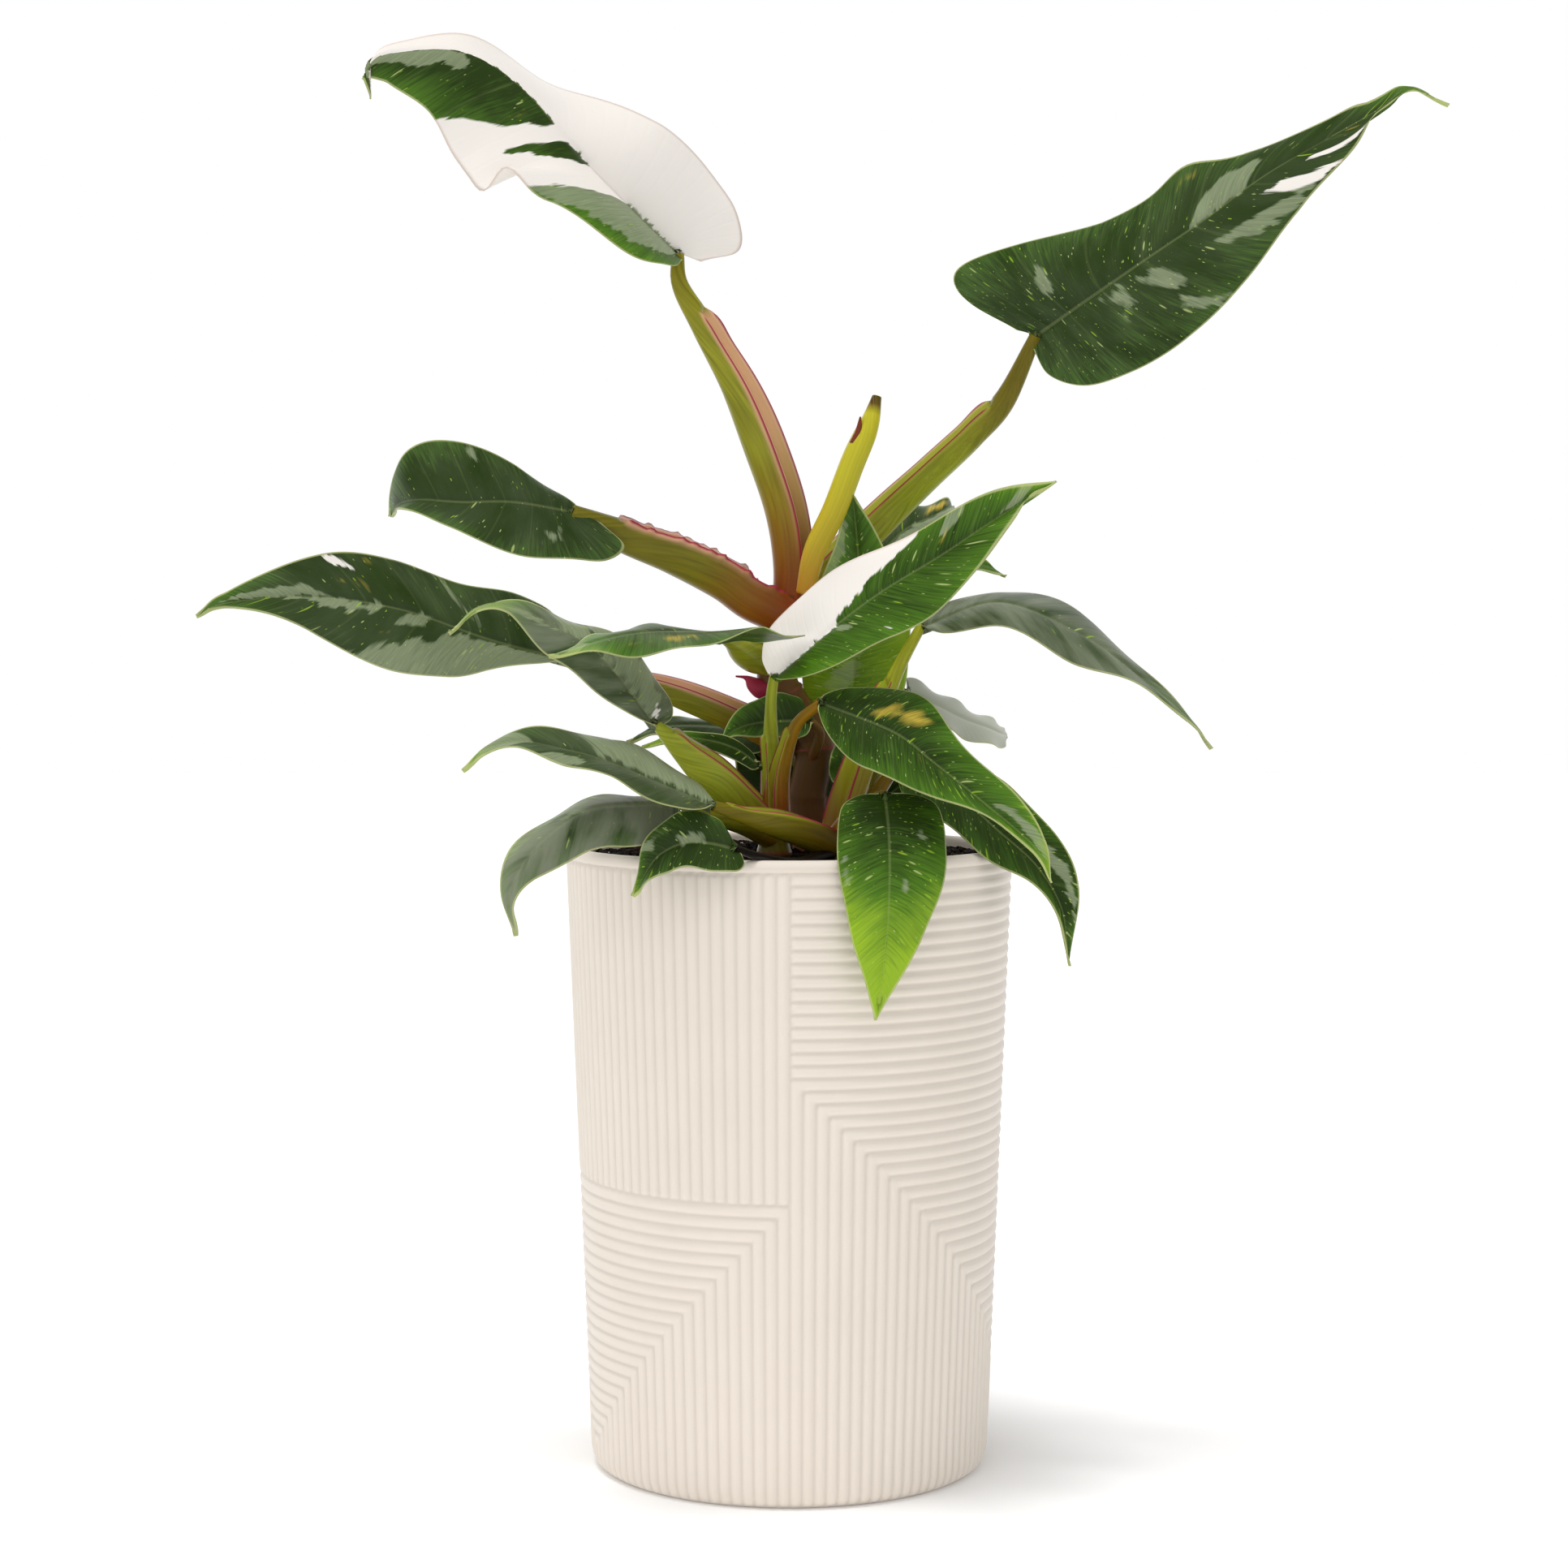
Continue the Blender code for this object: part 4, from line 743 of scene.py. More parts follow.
def build_tube(name, path_points, radii, rings, sides=32, open_to=(0.0, -1.0, 0.0), sheath=0.0, knots=(),
               tint=(0.5, 0.0, 0.0), pink=0.0, amber=0.0, ruffle=0.0, roll=0.0):
    """Closed tube along a smooth curve; a sheath has thin raised wings round a channel, up to its share."""
    path = Path(path_points)
    tube, along, around = start_grid(name, rings + 2, sides)
    ring = np.round(along * (rings + 2))
    share = np.clip((ring - 1) / rings, 0.0, 1.0)
    cap = (ring > 0) & (ring < rings + 2)
    radius = along_list(radii, share)
    ring_red = np.zeros(len(share))
    for where, height, wide in knots:
        swell = np.exp(-((share - where) * path.length / wide) ** 2)
        radius = radius + height * swell
        ring_red = ring_red + RING_RED * swell ** 3
    way = path.way(share)
    side = unit(np.cross(way, np.tile(open_to, (len(share), 1))))
    up = np.cross(side, way)
    angle = around * math.tau
    from_open = np.degrees(np.abs((angle - math.pi / 2 + math.pi) % math.tau - math.pi))
    channel = np.zeros(len(share))
    if sheath:
        channel = ease(0.0, CHANNEL_OPENS, share) * ease(sheath, sheath - CHANNEL_CLOSES, share)
    length_mm = share * path.length
    tip = 1.0 + TIP_HEIGHT * np.exp(-((share - sheath + SHEATH_TIP) / SHEATH_TIP) ** 2)
    wave, slow_wave = (np.sin(length_mm * pace) for pace in RUFFLE_WAVES)
    tip = tip + ruffle * np.maximum(0.0, wave * slow_wave)
    wing = channel * np.exp(-((from_open - WING_AT) / WING_WIDTH) ** 2)
    hollow = channel * np.exp(-(from_open / CHANNEL_WIDTH) ** 4)
    scale = 1.0 + WING_HEIGHT * wing * tip - CHANNEL_DEPTH * hollow
    if roll:
        scale = scale + ROLL_STEP * ((around + roll * share) % 1.0 - 0.5)
    scale = scale * cap
    points = path.at(share) + side * (np.cos(angle) * radius * scale)[:, None]
    points = points + up * (np.sin(angle) * radius * scale)[:, None]
    place(tube, points)
    flat = np.zeros(len(share))
    seed = sum(map(ord, name)) % 50 * 5.0
    store(tube, "skin_mm", length_mm + seed, around * math.tau * radius, flat + amber)
    store(tube, "skin", share, wing, hollow)
    fresh = along_list(np.atleast_1d(tint[0]), share)
    store(tube, "tint", fresh, flat + tint[1], flat + tint[2])
    store(tube, "pink", pink + ring_red)
    close_seams()
    return tube


def stalk_skin(look):
    """Waxy stalks: olive to yellow-green, orange-brown at the foot, crimson sheath edges, pink inside."""
    mat, tree, add = new_material("Leaf stalk, waxy skin", 0.32, IOR=1.45, Specular_IOR_Level=0.4)
    place_mm, skin, tint = (
        add("SeparateXYZ", add("Attribute", attribute_name=part, out="Vector"), out=slice(3))
        for part in ("skin_mm", "skin", "tint"))
    lines = add("CombineXYZ", add("MULTIPLY", place_mm[0], 0.05), add("MULTIPLY", place_mm[1], 0.9))
    streak = add("TexNoise", lines, 1.0, 1.0)
    green = add("Mix", tint[0], look.olive, look.fresh)
    green = add("Mix", place_mm[2], green, look.amber)
    colour = add("Mix", add("MapRange", streak, 0.35, 0.75, 0.0, 0.45), green, look.olive_dark)
    foot = add("MULTIPLY", add("MapRange", skin[0], 0.45, 0.0), tint[1])
    colour = add("Mix", foot, colour, look.foot_red)
    colour = add("Mix", tint[2], colour, look.woody)
    colour = add("Mix", add("MapRange", tint[2], 1.0, 2.0), colour, look.withered)
    blush = add("Attribute", attribute_name="pink", out="Fac")
    inside = add("MapRange", add("ADD", skin[2], skin[1]), 0.15, 0.7)
    inside = add("MULTIPLY", inside, add("MapRange", skin[0], 0.1, 0.5))
    lining = add("Mix", blush, look.fresh, look.pink)
    colour = add("Mix", add("MULTIPLY", inside, 0.85), colour, lining)
    colour = add("Mix", add("MapRange", skin[1], 0.66, 0.88, 0.0, 0.95), colour, look.crimson)
    colour = add("Mix", add("MapRange", blush, 1.0, 2.0), colour, look.crimson)
    finish_material(tree, colour, streak, 0.12, 0.3)
    return mat


def build_stems(look):
    """Each shoot's stem with the stalks of its leaves, joined as one piece."""
    mat = stalk_skin(look)
    for name, shoot in SHOOTS.items():
        tubes = [build_tube("shoot_" + name.replace("stems_", ""), shoot["stem"], shoot["radii"], 96,
                            knots=shoot["knots"], tint=shoot["tint"])]
        for leaf in LEAVES.values():
            if leaf.get("shoot") != name:
                continue
            known = {key: leaf[key] for key in STALK_SETTINGS if key in leaf}
            points = leaf["stalk"] + (leaf["spine"][0],)
            tubes.append(build_tube("stalk", points, leaf["radii"], 72, **known))
        if name == "stems_main":
            tubes.append(build_tube("bud", ROOT_BUD, ROOT_BUD_RADII, 24, 16, pink=2.0))
        finish_piece(join(tubes), [name], [mat])


def build_new_shoot(look):
    """The rolled young leaf, with its overlapping edge, its dried brown tip and a second small point."""
    roll = build_tube("rolled_leaf", NEW_SHOOT, NEW_SHOOT_RADII, 96, roll=0.35, tint=(0.0, 0.0, 0.0))
    point = build_tube("rolled_leaf_point", NEW_SHOOT_POINT, (1.6, 1.2, 0.3), 24, 16, tint=(0.0, 1.0, 0.0))
    finish_piece(join([roll, point]), ["new_shoot"], [young_leaf(look)])


def young_leaf(look):
    """Rolled young leaf: glossy yellow-green with faint lengthwise lines, orange at the foot, brown tip."""
    mat, tree, add = new_material("Rolled young leaf, glossy", 0.30, IOR=1.45)
    place_mm, skin, tint = (
        add("SeparateXYZ", add("Attribute", attribute_name=part, out="Vector"), out=slice(3))
        for part in ("skin_mm", "skin", "tint"))
    streak = add("TexNoise", add("CombineXYZ", None, add("MULTIPLY", place_mm[1], 1.2)), 1.0, 2.0)
    stops = ((0.0, look.foot_orange), (0.25, linear(YOUNG_GOLD)), (0.60, look.young), (0.90, look.young),
             (0.955, linear(YOUNG_BROWN)), (1.0, linear(YOUNG_TIP)))
    colour = add("ValToRGB", skin[0], stops=stops)
    colour = add("Mix", add("MapRange", streak, 0.35, 0.7, 0.0, 0.4), colour, linear(YOUNG_LINE))
    colour = add("Mix", tint[1], colour, linear(DRIED_POINT))
    finish_material(tree, colour, streak, 0.2, 0.3)
    return mat


# The plant


# In mm. A blade has its spine, its half blades' sides from the notch to the tip, each margin's lobe at the
# notch (0 blunt, 1 heart-shaped), folds (side, vein, reach along and push), a taper for its tip and a wave
# for its margin. A stalk has its path and radii, how far up its sheath goes, the sheath's ruffle and the
# way that it opens. Its tint is how fresh green it is, which may change along it, how red its foot is and
# how woody it is, where 2 is withered. Pink is for the inside of the sheath, and amber turns the whole
# stalk orange-brown.
# A blade's tone runs from the notch to the tip: 0 dark green, 0.45 mid green and 1 lime, and rim adds to it
# at the margin. Grey is how strongly a painted grey sheen covers it, standing in for the backdrop's
# reflection; specks how densely it is flecked and milky how pale it is.
# Marks are outlines in vein number, 0 at the notch to 10 at the tip, and place across, -1 at the left
# margin to 1 at the right one; a number after an outline is the mark's strength.
LEAVES = {
    "leaf_top_left": dict(
        slot="leaf_white",
        spine=((-37, -8, 404), (-65, -20, 431), (-87, -26, 456), (-106, -30, 467), (-127, -34, 466),
               (-135.5, -37, 461.5), (-135, -39, 450)),
        left=((-7, -24, -6), (-12, -24, -11), (-24, -12, -31), (-14, -6, -36), (-4, -4, -20)),
        right=((20, 8, 20), (20, 10, 18), (6, 20, 7), (4, 14, 10), (6, 10, 24)),
        folds=((-1, 5.5, 0.22, (0, 0, -3)), (-1, 5, 0.28, (-1, -2, 7.5)), (-1, 2.6, 1, (-1, 0, -3.6)),
               (1, 7.4, 0.9, (0, 0, 1)), (1, 5.3, 0.8, (1, 0, 2.2)), (1, 1.2, 0.6, (2, 0, -1.5))),
        lobe=(0.3, 0.6), shoot="stems_main",
        stalk=((0, 3, 284), (1, 5, 300), (-1.3, 4, 318), (-7.4, 0, 337), (-16.9, -4, 360), (-29.2, -7, 381),
               (-36.4, -8, 394)),
        radii=(6.2, 6.5, 6.7, 6.6, 5.3, 3.7, 2), sheath=0.84, open_to=(1, -0.4, 0.1),
        tint=((0.75, 0.8, 0.8, 0.8, 0.35), 1, 0), pink=0.8, amber=0.15, tone=(0.12, 0.1, 0.1, 0.05, 0),
        rim=0.45, grey=0.1, specks=0.45,
        marks=(("white", ((-1, 0.02), (10.5, 0.02), (10.5, 1.3), (-1, 1.3))),
               ("white", ((4, 0.1), (4.3, -0.3), (4.6, -0.6), (4.8, -1.25), (7.2, -1.25), (6.9, -0.85),
                          (6.35, -0.45), (6, 0.1))),
               ("green",
                ((5.15, 0), (5.72, -0.02), (5.85, -0.35), (5.88, -0.62), (5.62, -0.45), (5.4, -0.25))),
               ("pale", ((7.9, 0), (9.6, 0), (9.6, -0.5), (8.4, -0.5), (7.6, -0.28))),
               ("pale",
                ((1, 0.1), (4.1, 0.1), (4.6, -0.6), (4.9, -1.1), (3.9, -0.9), (2.6, -0.72), (1.4, -0.5))),
               ("yellow", ((6.3, -0.2), (6.45, -0.6), (6.62, -0.5), (6.5, -0.2)), 0.62))),
    "leaf_top_right": dict(
        slot="leaf_mid_green",
        spine=((82, -7, 377), (114, -18, 399), (135, -25, 413), (156, -31, 428), (188, -38, 446),
               (199, -40, 453.6), (211.6, -42, 447.5)),
        left=((-40, 6, 24), (-11, 12, 16), (-8, 12, 13), (-5, 10, 8), (-4, 6, 6)),
        right=((15, -8, -23), (17, -8, -24), (13, -8, -20), (9, -6, -13), (2, -3, -3)),
        folds=((-1, 5.6, 0.45, (-1.5, 0, 3.6)), (-1, 1.5, 0.9, (-1.8, 0, 0)), (1, 8.1, 0.45, (-2.5, 0, 3)),
               (-1, 7.9, 0.3, (0, 0, 1))),
        lobe=(0.2, 0.3), shoot="stems_main",
        stalk=((1, 8, 286), (14, 17, 300), (33.4, 21, 319), (47.5, 14, 332.2), (61.6, 5, 345.2),
               (72, 0, 356)),
        radii=(5.6, 6, 6, 5.3, 4.9, 3.6, 2.1), sheath=0.8, open_to=(-0.7, -0.25, 0.7),
        tint=((0.8, 0.95, 0.95, 0.85, 0.15, 0.05), 0.3, 0), pink=0.08,
        tone=(0.1, 0.08, 0.08, 0.05, 0.1, 0.8), rim=0.18, grey=0.35, specks=0.8,
        marks=(("pale", ((3, -0.33), (3.25, -0.35), (3.25, -0.58), (3, -0.5))),
               ("pale", ((3.85, 0.08), (4.3, 0.08), (4.25, 0.32), (3.9, 0.3))),
               ("pale", ((3.85, 0.32), (4.05, 0.32), (4, 0.45), (3.85, 0.45))),
               ("pale", ((4.7, 0.15), (5.05, 0.2), (5.05, 0.52), (4.8, 0.5))),
               ("pale", ((4.5, 0.7), (4.75, 0.62), (5.05, 0.95), (4.8, 1))),
               ("pale", ((5.85, 0.4), (6.3, 0.45), (7, 0.85), (6.6, 0.97), (6.1, 0.75))),
               ("white", ((6.85, 0.3), (7.1, 0.4), (7.35, 0.97), (7, 0.97), (6.85, 0.6))),
               ("white", ((7.45, 0.3), (7.62, 0.3), (7.95, 0.9), (7.7, 0.9))),
               ("pale", ((5.9, -0.02), (6.9, -0.02), (7, -0.6), (6.4, -0.6), (6.05, -0.35))),
               ("yellow", ((5.5, -0.7), (5.95, -0.72), (5.85, -0.97), (5.5, -0.93)), 0.65),
               ("yellow", ((8, 0.1), (8.3, 0.1), (8.4, 0.5), (8.1, 0.5)), 0.62))),
    "leaf_mid_left": dict(
        slot="leaf_dark_green",
        spine=((-71, -27, 318), (-90, -29, 321), (-107, -28, 321), (-121, -22, 322), (-130, -10, 321),
               (-134, 3, 317)),
        left=((2, -8, -17), (1, -7, -17), (0, -4, -10), (0, -2, -6), (0, 0, -5)),
        right=((0, 6, 4.5), (0, 8, 12.5), (0, 8, 24), (-2, 4, 28), (-3, 2, 22)),
        folds=((1, 8.5, 1, (-1.8, 0, 0)),), lobe=(1.3, 0.2), shoot="stems_main",
        stalk=((-2, 1, 284.6), (-12, -6, 289.2), (-22, -9, 296.4), (-38, -14, 304.2), (-56, -18, 310.6)),
        radii=(7, 7.4, 7.3, 6.5, 5, 2.2), sheath=0.8, ruffle=0.8, open_to=(0.1, -0.15, 1),
        tint=(0.3, 1, 0.1), pink=0.9, tone=(0.02, 0, 0.02, 0.1, 0.3), rim=0.25, grey=0.4, specks=0.45,
        marks=(("pale", ((3.1, -0.48), (3.5, -0.5), (3.48, -0.68), (3.08, -0.64))),
               ("pale", ((2.95, -0.38), (3.1, -0.38), (3.1, -0.46), (2.95, -0.46))),
               ("pale", ((5.2, 0.72), (5.5, 0.74), (5.6, 0.92), (5.3, 0.9))))),
    "leaf_long_left": dict(
        slot="leaf_dark_green",
        spine=((-74, 0, 269), (-100, -4, 276), (-129, -8, 286), (-160, -12, 290.4), (-187, -15, 288),
               (-196, -16, 283.5)),
        left=((-2, -6, -3), (-1, -8, -7), (1, -8, -18), (2, -8, -25), (1, -6, -22), (0, -4, -12),
              (0, -4, -4)),
        right=((0, 10, 17), (1, 12, 18), (1, 12, 14), (1, 10, 19), (2, 8, 23), (2, 8, 23), (2, 6, 20)),
        lobe=(0, 0.1), shoot="stems_main", stalk=((2, 4, 240), (-18, 7, 249.5), (-43, 5, 259.5)),
        radii=(5.2, 5.2, 4.8, 2.8, 1.8), sheath=0.85, open_to=(0, -0.3, 1), tint=(0.4, 0.6, 0), pink=0.9,
        tone=(0.05, 0.05, 0.02, 0.05, 0.5), rim=0.12, grey=0.45, specks=0.5,
        marks=(("white", ((6.83, 0.72), (7.08, 0.78), (7.15, 0.95), (6.95, 0.95))),
               ("yellow", ((6.2, 0.8), (6.65, 0.84), (6.6, 0.97), (6.2, 0.93)), 0.66),
               ("yellow", ((6.9, 0.3), (7.3, 0.38), (7.25, 0.57), (6.9, 0.5)), 0.66),
               ("yellow", ((6, 0.25), (6.2, 0.25), (6.2, 0.45), (6, 0.45)), 0.55),
               ("yellow", ((6.2, -0.4), (6.6, -0.35), (6.6, -0.6), (6.3, -0.6)), 0.62),
               ("pale", ((7.6, 0.05), (7.9, 0.38), (9, 0.5), (9.4, 0.3), (8.5, 0.02))),
               ("pale", ((6.7, 0), (8.2, 0), (8.2, -0.14), (7.2, -0.27), (6.8, -0.2))),
               ("pale", ((5.85, 0.05), (6.3, -0.05), (6.3, -0.25), (5.9, -0.2))),
               ("pale", ((0.5, -0.05), (5.2, -0.02), (5.6, -0.35), (6.3, -0.5), (6.7, -1.2), (0.5, -1.2)),
                0.8),
               ("pale", ((4.6, 0.05), (5, 0.1), (5.45, 1.1), (5, 1.1), (4.7, 0.5)), 0.62),
               ("pale", ((3.6, 0.08), (3.9, 0.08), (4, 0.85), (3.7, 0.75)), 0.55),
               ("pale", ((1.5, 0.1), (2.6, 0.1), (2.7, 0.95), (1.5, 0.95)), 0.6))),
    "leaf_front_left": dict(
        slot="leaf_grey_green",
        spine=((-43, -48, 249), (-60, -50, 271), (-74, -52, 280), (-88, -56, 287), (-99, -61, 286),
               (-107, -66, 278)),
        left=((-2.5, -5, -1.5), (-7, -6, -5.6), (-6, -6, -9), (-1, -4, -5), (-1, -3, -4)),
        right=((7, 10, 7), (6, 12, 6), (3, 10, 4), (1, 6, 2), (0, 4, 1)), lobe=(0.1, 0.3),
        shoot="stems_left", stalk=((-5, -30, 214), (-19, -36, 226.8), (-31.6, -42, 238.2)),
        radii=(4.8, 6, 6.6, 4.4, 1.5), sheath=0.9, open_to=(0.5, -0.15, 0.85), tint=(1, 0.4, 0), pink=0.1,
        tone=(0.05, 0.05, 0.05, 0.1, 0.9, 1), rim=0.1, grey=2.4, specks=0.4,
        marks=(("pale", ((1.2, 0.04), (6.6, 0.04), (6.6, 0.8), (4.6, 1.1), (3.2, 0.85), (2.3, 0.5))),
               ("white", ((1.5, 0.1), (2.2, 0.12), (2.4, 0.42), (1.9, 0.4))),
               ("green", ((4.9, 0.15), (5.5, 0.2), (5.6, 0.5), (5.1, 0.4))),
               ("pale", ((6.8, -0.1), (8, -0.1), (8, -0.6), (7, -0.5))))),
    "leaf_level": dict(
        slot="leaf_mid_green",
        spine=((-22, -45, 277), (-38, -53, 279), (-52, -60, 278), (-64, -69, 275), (-75, -77, 271)),
        left=((14, -17, 2.5), (8, -12, -8), (5, -8, -5)), right=((-4, 10, 2), (-6, 10, 1), (-6, 8, 0)),
        lobe=(2.1, 0.2), shoot="stems_main",
        stalk=((-3, 0, 268), (-10, -5, 269.5), (-14, -14, 271.5), (-18, -30, 274.6)),
        radii=(4.6, 5.4, 4.6, 2.6, 1.5), open_to=(0, 0, 1), tint=(0.8, 0.1, 0),
        tone=(0.25, 0.15, 0.2, 0.5, 0.7), rim=0.2, grey=0.6, specks=0.35,
        marks=(("yellow", ((4.2, -0.45), (6.5, -0.35), (7.3, -0.7), (4.5, -0.8)), 0.7),
               ("pale", ((8.2, -0.9), (9.8, -0.9), (9.8, 0.9), (8.2, 0.9))))),
    "leaf_centre": dict(
        slot="leaf_white",
        spine=((-5, -40, 264), (15, -48, 281), (30, -52, 292), (48, -55, 303), (66, -59, 315),
               (84, -64, 326)),
        left=((-6, 20, 12), (-9, 16, 12), (-8, 8, 11), (-10, 6, 14.5), (-12, 6, 18)),
        right=((4, -10, -3), (8, -10, -9), (10, -10, -13.5), (6, -7, -8.5), (2, -4, -4)),
        folds=((-1, 8.4, 0.9, (-1, 0, 1.3)), (1, 7.2, 0.8, (2, -1, -1.6)), (1, 8.9, 0.5, (-1.6, 0, 1.6))),
        lobe=(0.2, 0.1), shoot="stems_left", stalk=((-5, -29, 213), (-6, -30, 238), (-6, -37, 256)),
        radii=(4.2, 3.4, 2.8, 2, 1.6), sheath=0.6, open_to=(-1, -0.4, 0), tint=(1, 0.5, 0),
        tone=(0.34, 0.3, 0.26, 0.24, 0.3, 0.55), rim=0.25, grey=0.03, specks=0.7,
        marks=(("white", ((-1, 0.02), (4.7, 0.02), (5, -0.12), (5.5, -0.25), (5.9, -0.42), (6.5, -0.9),
                          (6.6, -1.3), (-1, -1.3))),
               ("pale", ((7.05, -0.6), (7.3, -0.6), (7.7, -0.97), (7.2, -0.97))),
               ("pale", ((8.6, -0.1), (9, -0.1), (9.2, -0.95), (8.8, -0.95))),
               ("white", ((4.98, 0.7), (5.1, 0.72), (5.14, 0.86), (5.02, 0.84)), 0.95),
               ("pale", ((4.55, 0.12), (4.8, 0.12), (4.8, 0.25), (4.6, 0.25))),
               ("yellow", ((7.1, -0.3), (7.3, -0.35), (7.4, -0.58), (7.15, -0.52)), 0.62))),
    "leaf_upright": dict(
        slot="leaf_lime", spine=((21, 15, 251), (22, 11, 268), (24, 4, 287), (23, -3, 305), (21, -9, 324)),
        left=((-17, 3, 0), (-18, -8, 0), (-18, -6, 0)), right=((18, -3, 0), (19, -4, 0)), lobe=(0.3, 0.3),
        shoot="stems_back", stalk=((24, 26, 214), (24, 24, 232), (22, 19, 244)), radii=(3.6, 3, 1.6),
        tint=(1, 0, 0), tone=(0.72, 0.68, 0.62, 0.45, 0.3, 0.25), rim=0.3, grey=0.1, specks=1.9,
        marks=(("pale", ((3.9, -0.72), (8.6, -0.7), (8.6, -1.2), (3.9, -1.2))),
               ("pale", ((3.1, -0.6), (4.6, -0.25), (4.9, 0.05), (4.3, 0.1), (3.1, -0.2))),
               ("pale", ((1.6, 0.25), (3.4, 0.3), (3.6, 0.85), (1.8, 0.8)), 0.62),
               ("yellow", ((0.8, -0.7), (2.6, -0.5), (2.4, 0.4), (1, 0.5)), 0.5))),
    "leaf_front_right": dict(
        slot="leaf_dark_green",
        spine=((10, -50, 256), (33, -63, 247), (45, -69, 238), (60, -76, 226), (76, -82, 212),
               (81, -85, 201)),
        left=((2, 6, 5), (8, 8, 12), (7, 7, 9), (10, 6, 12), (12, 5, 11)),
        right=((-3, -6, -6), (-8, -12, -12), (-6, -10, -8), (-3, -6, -4), (-3, -4, -4)), lobe=(0.1, 0.1),
        shoot="stems_left", stalk=((-4, -31, 213), (-3, -34, 232), (2, -42, 248)),
        radii=(4.6, 3.8, 2.8, 2, 1.6), sheath=0.7, open_to=(-0.7, -0.5, 0.5), tint=(0.3, 0.9, 0),
        amber=0.75, tone=(0.05, 0.08, 0.18, 0.26, 0.36, 0.8), rim=0.26, grey=0.08, specks=1.1,
        marks=(("yellow",
                ((4.1, -0.26), (4.75, -0.24), (5.2, -0.4), (5.2, -0.62), (4.7, -0.56), (4.2, -0.36))),
               ("yellow", ((5.8, 0.05), (6.6, 0.08), (6.6, 0.32), (5.9, 0.35)), 0.62),
               ("yellow", ((5.95, -0.5), (6.15, -0.5), (6.2, -0.8), (5.95, -0.75)), 0.5),
               ("pale", ((7.8, -0.3), (9.2, -0.2), (9.2, -0.9), (8.2, -0.9))))),
    "leaf_low_right": dict(
        slot="leaf_dark_green",
        spine=((36, -18, 236), (55, -30, 225), (68, -36, 214), (80, -41, 203), (88, -44, 189),
               (90.2, -44, 170.8)),
        left=((3, 6, 7), (8, 8, 9), (9.4, 8, 11.4), (13.4, 7, 13.8), (15, 6, 13.6)),
        right=((-5, -8, -8), (-6, -10, -8), (-6, -10, -8), (-5, -6, -5), (0.5, -4, -2)),
        shoot="stems_front", stalk=((15, -38, 211), (24, -28, 220), (32, -20, 230)), radii=(4.2, 3, 1.8),
        tint=(0.3, 0.8, 0), amber=0.6, tone=(0.05, 0.08, 0.1, 0.1, 0.3), rim=0.2, grey=0.08, specks=1.4,
        marks=(("pale", ((6.6, -0.35), (7.2, -0.35), (8.5, -0.6), (8.6, -0.97), (7.4, -0.75))),
               ("yellow", ((3, -0.1), (3.8, -0.1), (3.8, -0.35), (3.2, -0.35)), 0.5))),
    "leaf_arched_right": dict(
        slot="leaf_grey_green",
        spine=((44, 0, 280), (70, -8, 288.6), (97.6, -14, 277.4), (116.5, -18, 263.4), (133, -20, 249.2),
               (139, -21, 240)),
        left=((2, 14, 6), (2, 15, 4), (3, 16, 7), (2, 10, 3), (1, 8, 1)),
        right=((0, -12, -3.8), (-1, -14, -8.5), (-2, -14, -11.5), (-2, -10, -5), (0, -6, -2)),
        shoot="stems_front", stalk=((15, -39, 210), (22, -31, 232), (34, -15, 262)),
        radii=(5.2, 5, 4, 2.4, 1.7), sheath=0.7, open_to=(-0.6, -0.6, 0.5), tint=(1, 0.7, 0), amber=0.12,
        tone=(0.03, 0, 0, 0, 0.3, 0.6), rim=0.05, grey=2.3, specks=0.12),
    "leaf_back_right": dict(
        slot="leaf_grey_green",
        spine=((41, 37, 258), (52, 42, 253), (62, 49, 248), (71.5, 57, 244.4), (78, 68, 241.2)),
        left=((2, 10, 4), (-1, 10, 4)), right=((0, -8, -7), (2, -6, -8)),
        folds=((1, 10, 0.6, (-2.2, 0, 1.8)), (-1, 9.4, 0.6, (1.3, 0, 1))), lobe=(0.4, 0.4), taper=0.3,
        shoot="stems_back", stalk=((24, 29, 214), (28, 31, 232), (35, 34, 249)), radii=(3.4, 2.6, 1.5),
        tint=(0.4, 0.2, 0), tone=(0.1,), rim=0, grey=1, specks=0.2, milky=1),
    "leaf_back_high": dict(
        slot="leaf_mid_green",
        spine=((28, 34, 302), (40, 38, 314), (50, 43, 319), (57, 52, 323), (58, 64, 323)),
        left=((-3, 8, 7), (-4, 6, 4)), right=((3, -6, -7), (4, -8, -4)), lobe=(0.4, 0.4),
        shoot="stems_back", stalk=((22, 30, 214), (23, 34, 255), (25, 34, 290)), radii=(3.6, 2.8, 1.5),
        tint=(0.4, 0.2, 0), tone=(0.15, 0.1, 0.3), rim=0.1, grey=0.8, specks=0.3,
        marks=(("pale", ((-1, 0.1), (8, 0.1), (8, 1.3), (-1, 1.3))),
               ("yellow", ((6.5, -0.3), (8, -0.3), (8, -0.8), (6.5, -0.8))))),
    "leaf_back_tip": dict(
        slot="leaf_mid_green",
        spine=((37, 26, 286), (48, 25, 295.5), (58, 22, 301.5), (67, 20, 301.5), (74, 18, 297.5)),
        left=((-3, 8, 5), (-1, 6, 4)), right=((3, -6, -7), (1, -8, -5)), lobe=(0.4, 0.4),
        shoot="stems_back", stalk=((26, 28, 214), (32, 30, 245), (34, 28, 272)), radii=(3.4, 2.6, 1.5),
        tint=(0.4, 0.2, 0), tone=(0.3, 0.3, 0.4), rim=0.1, grey=0.3, specks=0.3),
    "leaf_hanging": dict(
        slot="leaf_mid_green",
        spine=((30, -67, 227), (31, -75, 215), (31, -80, 200), (30, -82, 182), (27, -82, 158)),
